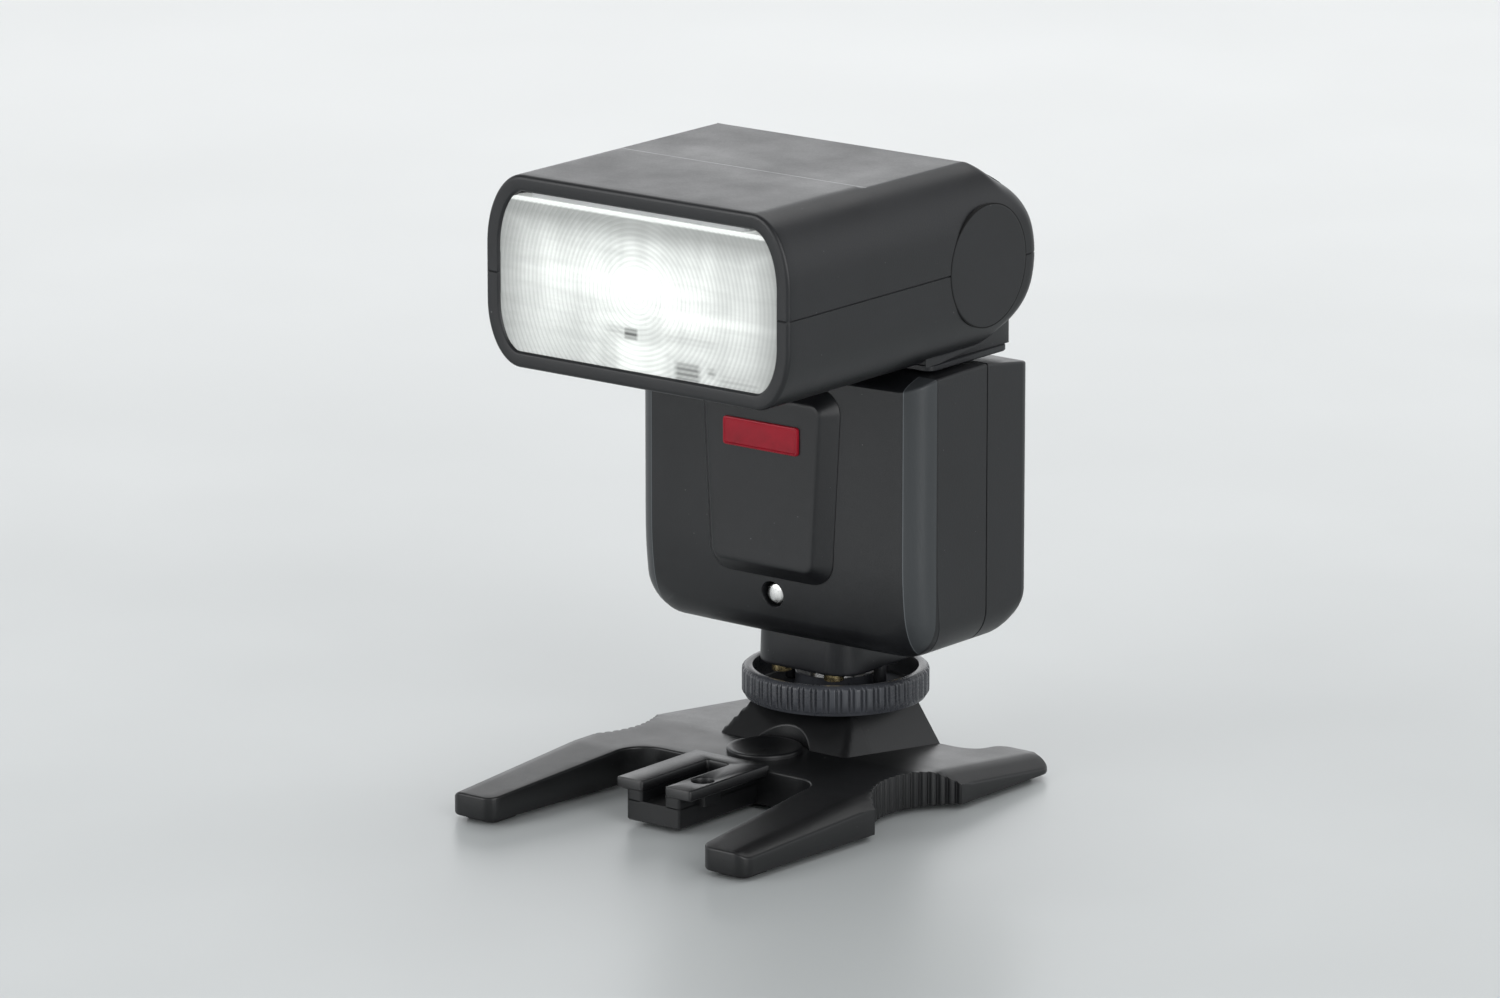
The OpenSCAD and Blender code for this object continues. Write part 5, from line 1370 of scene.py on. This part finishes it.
def stand_tongue():
    """Tongue: a lipped rail with a slot from its front end and a hole in its right lip, on a narrower
    stem with a foot, and the floor of the hole."""
    front, back = TONGUE
    slot, slot_end = TONGUE_SLOT

    def rail(half):
        return corners([(slot, front), (half, front), (half, back), (-half, back), (-half, front),
                        (-slot, front), (-slot, slot_end), (slot, slot_end)], 0.6, 4)

    half, z0, z1 = TONGUE_LIP
    stem, stem_z0, stem_z1 = TONGUE_STEM
    hole_x, hole_y, hole_r = TONGUE_HOLE
    hole = circle(hole_r, 36, hole_x, hole_y, clockwise=True)
    lip = [(z0, 0.3), (z0 + 0.3, 0), (z1 - 0.4, 0), (z1 - 0.12, 0.12), (z1, 0.4)]
    return [
        slab([rail(half), hole], lip, by_shoe),
        slab([rail(stem)], [(stem_z0, 0), (stem_z1, 0)], by_shoe),
        slab([rectangle(-stem, stem, front, back, 0.6, 4)],
             [(STAND_FOOT, 0.3), (STAND_FOOT + 0.3, 0), (stem_z0 + 0.2, 0)], by_shoe),
        slab([rectangle(3.5, 8.5, hole_y - 2.5, hole_y + 2.5, 0.3, 2)], [(5.0, 0), (8.3, 0)], by_shoe)]


def stand_pad(x, y):
    """Foot pad: a round-cornered plate with a softened lower edge."""
    loop = rectangle(x - 3.7, x + 3.7, y - 4.0, y + 4.0, 1.5, 6)
    return slab([loop], [(0, 0.35), (0.1, 0.12), (0.35, 0), (1.6, 0)], by_shoe)


# Head joint

STEM_R = (7.0, 9.0)


def turret_block():
    """Turret: a drum about the tilt axis on a square block, drawn along the axis with rounded ends, and
    the round stem it turns on."""
    low, high = span("turret")
    plate_low, plate_high = span("turret_base")
    drum, x = high[2] - TILT[2], high[0]
    y0, y1, z0 = plate_low[1] - TILT[1], plate_high[1] - TILT[1], plate_high[2] - TILT[2]
    a = np.linspace(math.acos(y1 / drum), math.acos(y0 / drum), 40)
    loop = np.concatenate([[(y0, z0), (y1, z0)], np.stack([drum * np.cos(a), drum * np.sin(a)], 1)])
    section = [(-x, 0.35), (-x + 0.1, 0.12), (-x + 0.35, 0), (x - 0.35, 0), (x - 0.1, 0.12), (x, 0.35)]
    block = slab([dense(loop, 1.5)], section, lambda y, z, h: (h, y + TILT[1], z + TILT[2]))
    inner, outer = STEM_R
    stem = [(inner, low[2]), (outer, low[2]), (outer, plate_high[2]), (inner, plate_high[2])]
    return [block, turned(stem, "z", 48, [0, SHOE_Y, 0])]


# Stage

CAMERA_TURN = math.radians(38.04)
CAMERA_RISE = math.radians(14.02)
CAMERA_DISTANCE = 1772.66
CAMERA_SHIFT = (-16.97, 5.02)
CAMERA_AIM_Z = 60.0
PICTURE_WIDTH = 1500
FOCAL_PIXELS = 9000
SENSOR_WIDTH = 36.0
FLOOR_REACH = 6.0
FLOOR_FADE = 0.75
ROOM_COLOUR = (0.96, 0.98, 1.0, 1.0)
ROOM_LIGHT = 0.42
ROOM_FALL = (0.26, 0.55, 1.0, 0.25)

# Soft boxes: name, place, aim, width, height and power
LIGHTS = (
    ("Top light", (-0.2, 0.6, 1.25), (0.0, 0.1, 0.05), 1.5, 1.2, 8.5),
    ("Left light", (-0.62, -1.2, 0.52), (0.0, 0.03, 0.06), 1.0, 0.9, 6.5),
    ("Back light", (-1.1, 1.4, 0.5), (0.0, 0.03, 0.06), 1.2, 0.6, 1.6),
    ("Right light", (1.08, -0.45, 0.5), (0.0, 0.03, 0.06), 0.6, 0.9, 4.8),
)


def floor_plane(colours):
    """Pale floor, lighter with its distance behind the stand: painted light for the lamps' fall-off."""
    mesh = bpy.data.meshes.new("floor")
    reach = FLOOR_REACH
    mesh.from_pydata([(-reach, -reach, 0), (reach, -reach, 0), (reach, reach, 0), (-reach, reach, 0)], [],
                     [(0, 1, 2, 3)])
    obj = bpy.data.objects.new("floor", mesh)
    bpy.context.scene.collection.objects.link(obj)
    f = Finish("floor_card")
    x, y, _ = f.xyz(f.place)
    depth = f.math("SUBTRACT", f.math("MULTIPLY", y, math.cos(CAMERA_TURN)),
                   f.math("MULTIPLY", x, math.sin(CAMERA_TURN)))
    cloud = f.noise(9, 3)
    far = f.math("ADD", f.spread(depth, 0.0, FLOOR_FADE), f.spread(cloud, *CLOUD, -0.01, 0.01))
    pale = f.blend(far, tuple(colours.floor), tuple(colours.far_floor_light))
    f.surface(pale, f.spread(cloud, *CLOUD, 0.30, 0.36))
    mesh.materials.append(f.material)


def soft_light(name, place, aim, width, height, power):
    """Soft box that faces a point."""
    lamp = bpy.data.lights.new(name, "AREA")
    lamp.shape = "RECTANGLE"
    lamp.size, lamp.size_y = width, height
    lamp.energy = power
    obj = bpy.data.objects.new(name, lamp)
    obj.location = place
    obj.rotation_mode = "QUATERNION"
    obj.rotation_quaternion = (Vector(aim) - Vector(place)).to_track_quat("-Z", "Y")
    bpy.context.scene.collection.objects.link(obj)


def room(scene):
    """Even pale surround: a plain light level for the object, and a paler one, falling towards the
    zenith, where the surround itself shows."""
    world = bpy.data.worlds.new("Room")
    world.use_nodes = True
    scene.world = world
    w = Nodes(world.node_tree)
    shade = w.tree.nodes["Background"].inputs
    shade["Color"].default_value = ROOM_COLOUR
    ray = w.node("ShaderNodeLightPath").outputs
    seen = w.math("MAXIMUM", *(ray[f"Is {kind} Ray"] for kind in ("Camera", "Transmission", "Glossy")))
    height = w.xyz(w.node("ShaderNodeTexCoord").outputs["Generated"])[2]
    w.feed(shade["Strength"], w.spread(seen, 0.0, 1.0, ROOM_LIGHT, w.spread(height, *ROOM_FALL)))
    scene.view_settings.view_transform = "Standard"


def photo_camera(scene):
    """Camera at the photograph's angle: it looks at the shoe's axis from a turn and a rise, shifted
    sideways."""
    a, e = CAMERA_TURN, CAMERA_RISE
    back = Vector((math.sin(a) * math.cos(e), -math.cos(a) * math.cos(e), math.sin(e)))
    right = Vector((math.cos(a), math.sin(a), 0.0))
    up = back.cross(right)
    aim = Vector((0.0, SHOE_Y, CAMERA_AIM_Z))
    place = (aim + back * CAMERA_DISTANCE + right * CAMERA_SHIFT[0] - up * CAMERA_SHIFT[1]) * MM
    lens = bpy.data.cameras.new("Photo camera")
    lens.sensor_width = SENSOR_WIDTH
    lens.lens = FOCAL_PIXELS / PICTURE_WIDTH * SENSOR_WIDTH
    lens.clip_start, lens.clip_end = 0.05, 20.0
    obj = bpy.data.objects.new("Photo camera", lens)
    rows = [(right[i], up[i], back[i], place[i]) for i in range(3)]
    obj.matrix_world = Matrix((*rows, (0.0, 0.0, 0.0, 1.0)))
    scene.collection.objects.link(obj)
    scene.camera = obj


# Operators

KEYS = ("button_mode", "button_zoom", "button_minus", "button_plus", "test_button", "power_switch")
KEY_EDGE = 0.25


class Build(Operator):
    """Base of the operators: a build step that ends or raises an error."""

    bl_options = {"UNDO"}

    def execute(self, context):
        self.build(context.scene)
        return {"FINISHED"}


class FLASH_OT_stand(Build):
    """Builds the table stand with its pads and bush"""

    bl_idname = "flash.stand"
    bl_label = "Stand"

    def build(self, scene):
        shells = [stand_plate(), pedestal_front(), pedestal_rear(), stand_boss(), *stand_tongue()]
        piece("stand", shells, "stand_plastic", "stand_base", sharp=38)
        pads = [stand_pad(sign * x, y) for sign in (1, -1) for x, y in PADS]
        piece("pads", pads, "pad_rubber", "stand_pads")
        dress("brass", "tripod_bush")


class FLASH_OT_foot(Build):
    """Builds the shoe, the lock ring and the neck"""

    bl_idname = "flash.foot"
    bl_label = "Foot"

    def build(self, scene):
        piece("grip_ring", [grip_ring()], "trim_plastic", "lock_ring", "grip_plastic", sharp=40)
        piece("neck", neck(), "case_plastic", "foot_neck", "trim_plastic")
        dress("bright_steel", "shoe_plate", "lock_pin")
        dress("brass", "foot_screws", "shoe_contacts")


class FLASH_OT_body(Build):
    """Builds the case, the front panel, the badge and the door"""

    bl_idname = "flash.body"
    bl_label = "Body"

    def build(self, scene):
        piece("case_front", [front_case()], "case_plastic", "front_shell", "body_plastic", sharp=20)
        piece("case_rear", [rear_case()], "case_plastic", "rear_shell", "body_plastic", sharp=20)
        piece("door", [door_plate()], "case_plastic", "battery_door", "body_plastic")
        piece("front_plate", [front_plate()], "case_plastic", "front_panel", sharp=24)
        piece("badge_plate", [badge_plate()], "badge_red", "badge")
        piece("case_bolt", [screw("case_screw")], "bright_steel", "case_screw")


class FLASH_OT_controls(Build):
    """Builds the control panel, the display and the keys"""

    bl_idname = "flash.controls"
    bl_label = "Controls"

    def build(self, scene):
        eased("controls", "trim_plastic", "control_panel", size("edge"))
        dress("display_glass", "display_window", "display_module")
        dress("lamp_clear", "ready_lamp")
        for node in KEYS:
            eased("key_" + node, "key_rubber", node, KEY_EDGE)


class FLASH_OT_head_joint(Build):
    """Builds the turret under the head"""

    bl_idname = "flash.head_joint"
    bl_label = "Head joint"

    def build(self, scene):
        piece("turret_block", turret_block(), "case_plastic", "turret")
        piece("turret_plate", [plain_plate("turret_base", 2.0, 0.25)], "trim_plastic", "turret_base")
        dress("bright_steel", "swivel_clip", "tilt_pins")


class FLASH_OT_head(Build):
    """Builds the head's shells and its pivot caps"""

    bl_idname = "flash.head"
    bl_label = "Head"

    def build(self, scene):
        upper = [head_arch(False, UPPER_REAR), head_ear(False, 1), head_ear(False, -1), rear_wall()]
        lower = [head_arch(True, LOWER_REAR), head_ear(True, 1), head_ear(True, -1)]
        piece("head_upper", upper, "case_plastic", "head_upper_shell", "head_plastic", sharp=24)
        piece("head_lower", lower, "case_plastic", "head_lower_shell", sharp=24)
        piece("caps", [pivot_cap(1), pivot_cap(-1)], "case_plastic", "pivot_caps")
        piece("cap_seals", [cap_shadow_ring(1), cap_shadow_ring(-1)], "case_plastic", "pivot_caps", "seal_rubber")


class FLASH_OT_lens(Build):
    """Builds the lens and the optics behind it"""

    bl_idname = "flash.lens"
    bl_label = "Lens"

    def build(self, scene):
        piece("lens", [lens_plate()], "lens_clear", "fresnel_lens", sharp=12)
        piece("wide_panel_plate", [plain_plate("wide_panel", 2.0, 0.12)], "panel_white", "wide_panel")
        piece("reflector_trough", reflector_trough(), "mirror_metal", "reflector")
        piece("tube", [tube()], "tube_glass", "flash_tube")


class FLASH_OT_inside(Build):
    """Gives the pieces inside the case their materials"""

    bl_idname = "flash.inside"
    bl_label = "Inside"

    def build(self, scene):
        dress("inner_plastic", "battery_cradle", "panel_tray", "zoom_carriage")
        dress("cell_wrap", "battery_cells")
        dress("bright_steel", "battery_contacts", "door_contacts", "guide_rods", "lead_screw", "zoom_motor",
              "head_screws")
        dress("board_green", "main_board", "control_board", "trigger_board")
        dress("capacitor_sleeve", "main_capacitor")
        dress("copper_winding", "transformer")


class FLASH_OT_stage(Build):
    """Builds the floor, the lights and the camera"""

    bl_idname = "flash.stage"
    bl_label = "Stage"

    def build(self, scene):
        floor_plane(scene.flash_colours)
        for light in LIGHTS:
            soft_light(*light)
        room(scene)
        photo_camera(scene)


class FLASH_PT_sidebar(Panel):
    """Lists the build steps with their sizes and colours"""

    bl_label = "Speedlight flash"
    bl_idname = "FLASH_PT_sidebar"
    bl_space_type = "VIEW_3D"
    bl_region_type = "UI"
    bl_category = "Flash"

    def draw(self, context):
        for step in STEPS:
            self.layout.operator(step.bl_idname)
        for group in (context.scene.flash_sizes, context.scene.flash_colours):
            for name in group.bl_rna.properties.keys():
                if name not in ("rna_type", "name"):
                    self.layout.prop(group, name)


STEPS = (FLASH_OT_stand, FLASH_OT_foot, FLASH_OT_body, FLASH_OT_controls, FLASH_OT_head_joint,
         FLASH_OT_head, FLASH_OT_lens, FLASH_OT_inside, FLASH_OT_stage)
CLASSES = (FlashSizes, FlashColours, *STEPS, FLASH_PT_sidebar)


def register():
    for cls in CLASSES:
        bpy.utils.register_class(cls)
    bpy.types.Scene.flash_sizes = PointerProperty(type=FlashSizes)
    bpy.types.Scene.flash_colours = PointerProperty(type=FlashColours)


def unregister():
    del bpy.types.Scene.flash_colours
    del bpy.types.Scene.flash_sizes
    for cls in reversed(CLASSES):
        bpy.utils.unregister_class(cls)


def main():
    register()
    for step in STEPS:
        group, name = step.bl_idname.split(".")
        getattr(getattr(bpy.ops, group), name)()


if __name__ == "__main__":
    main()
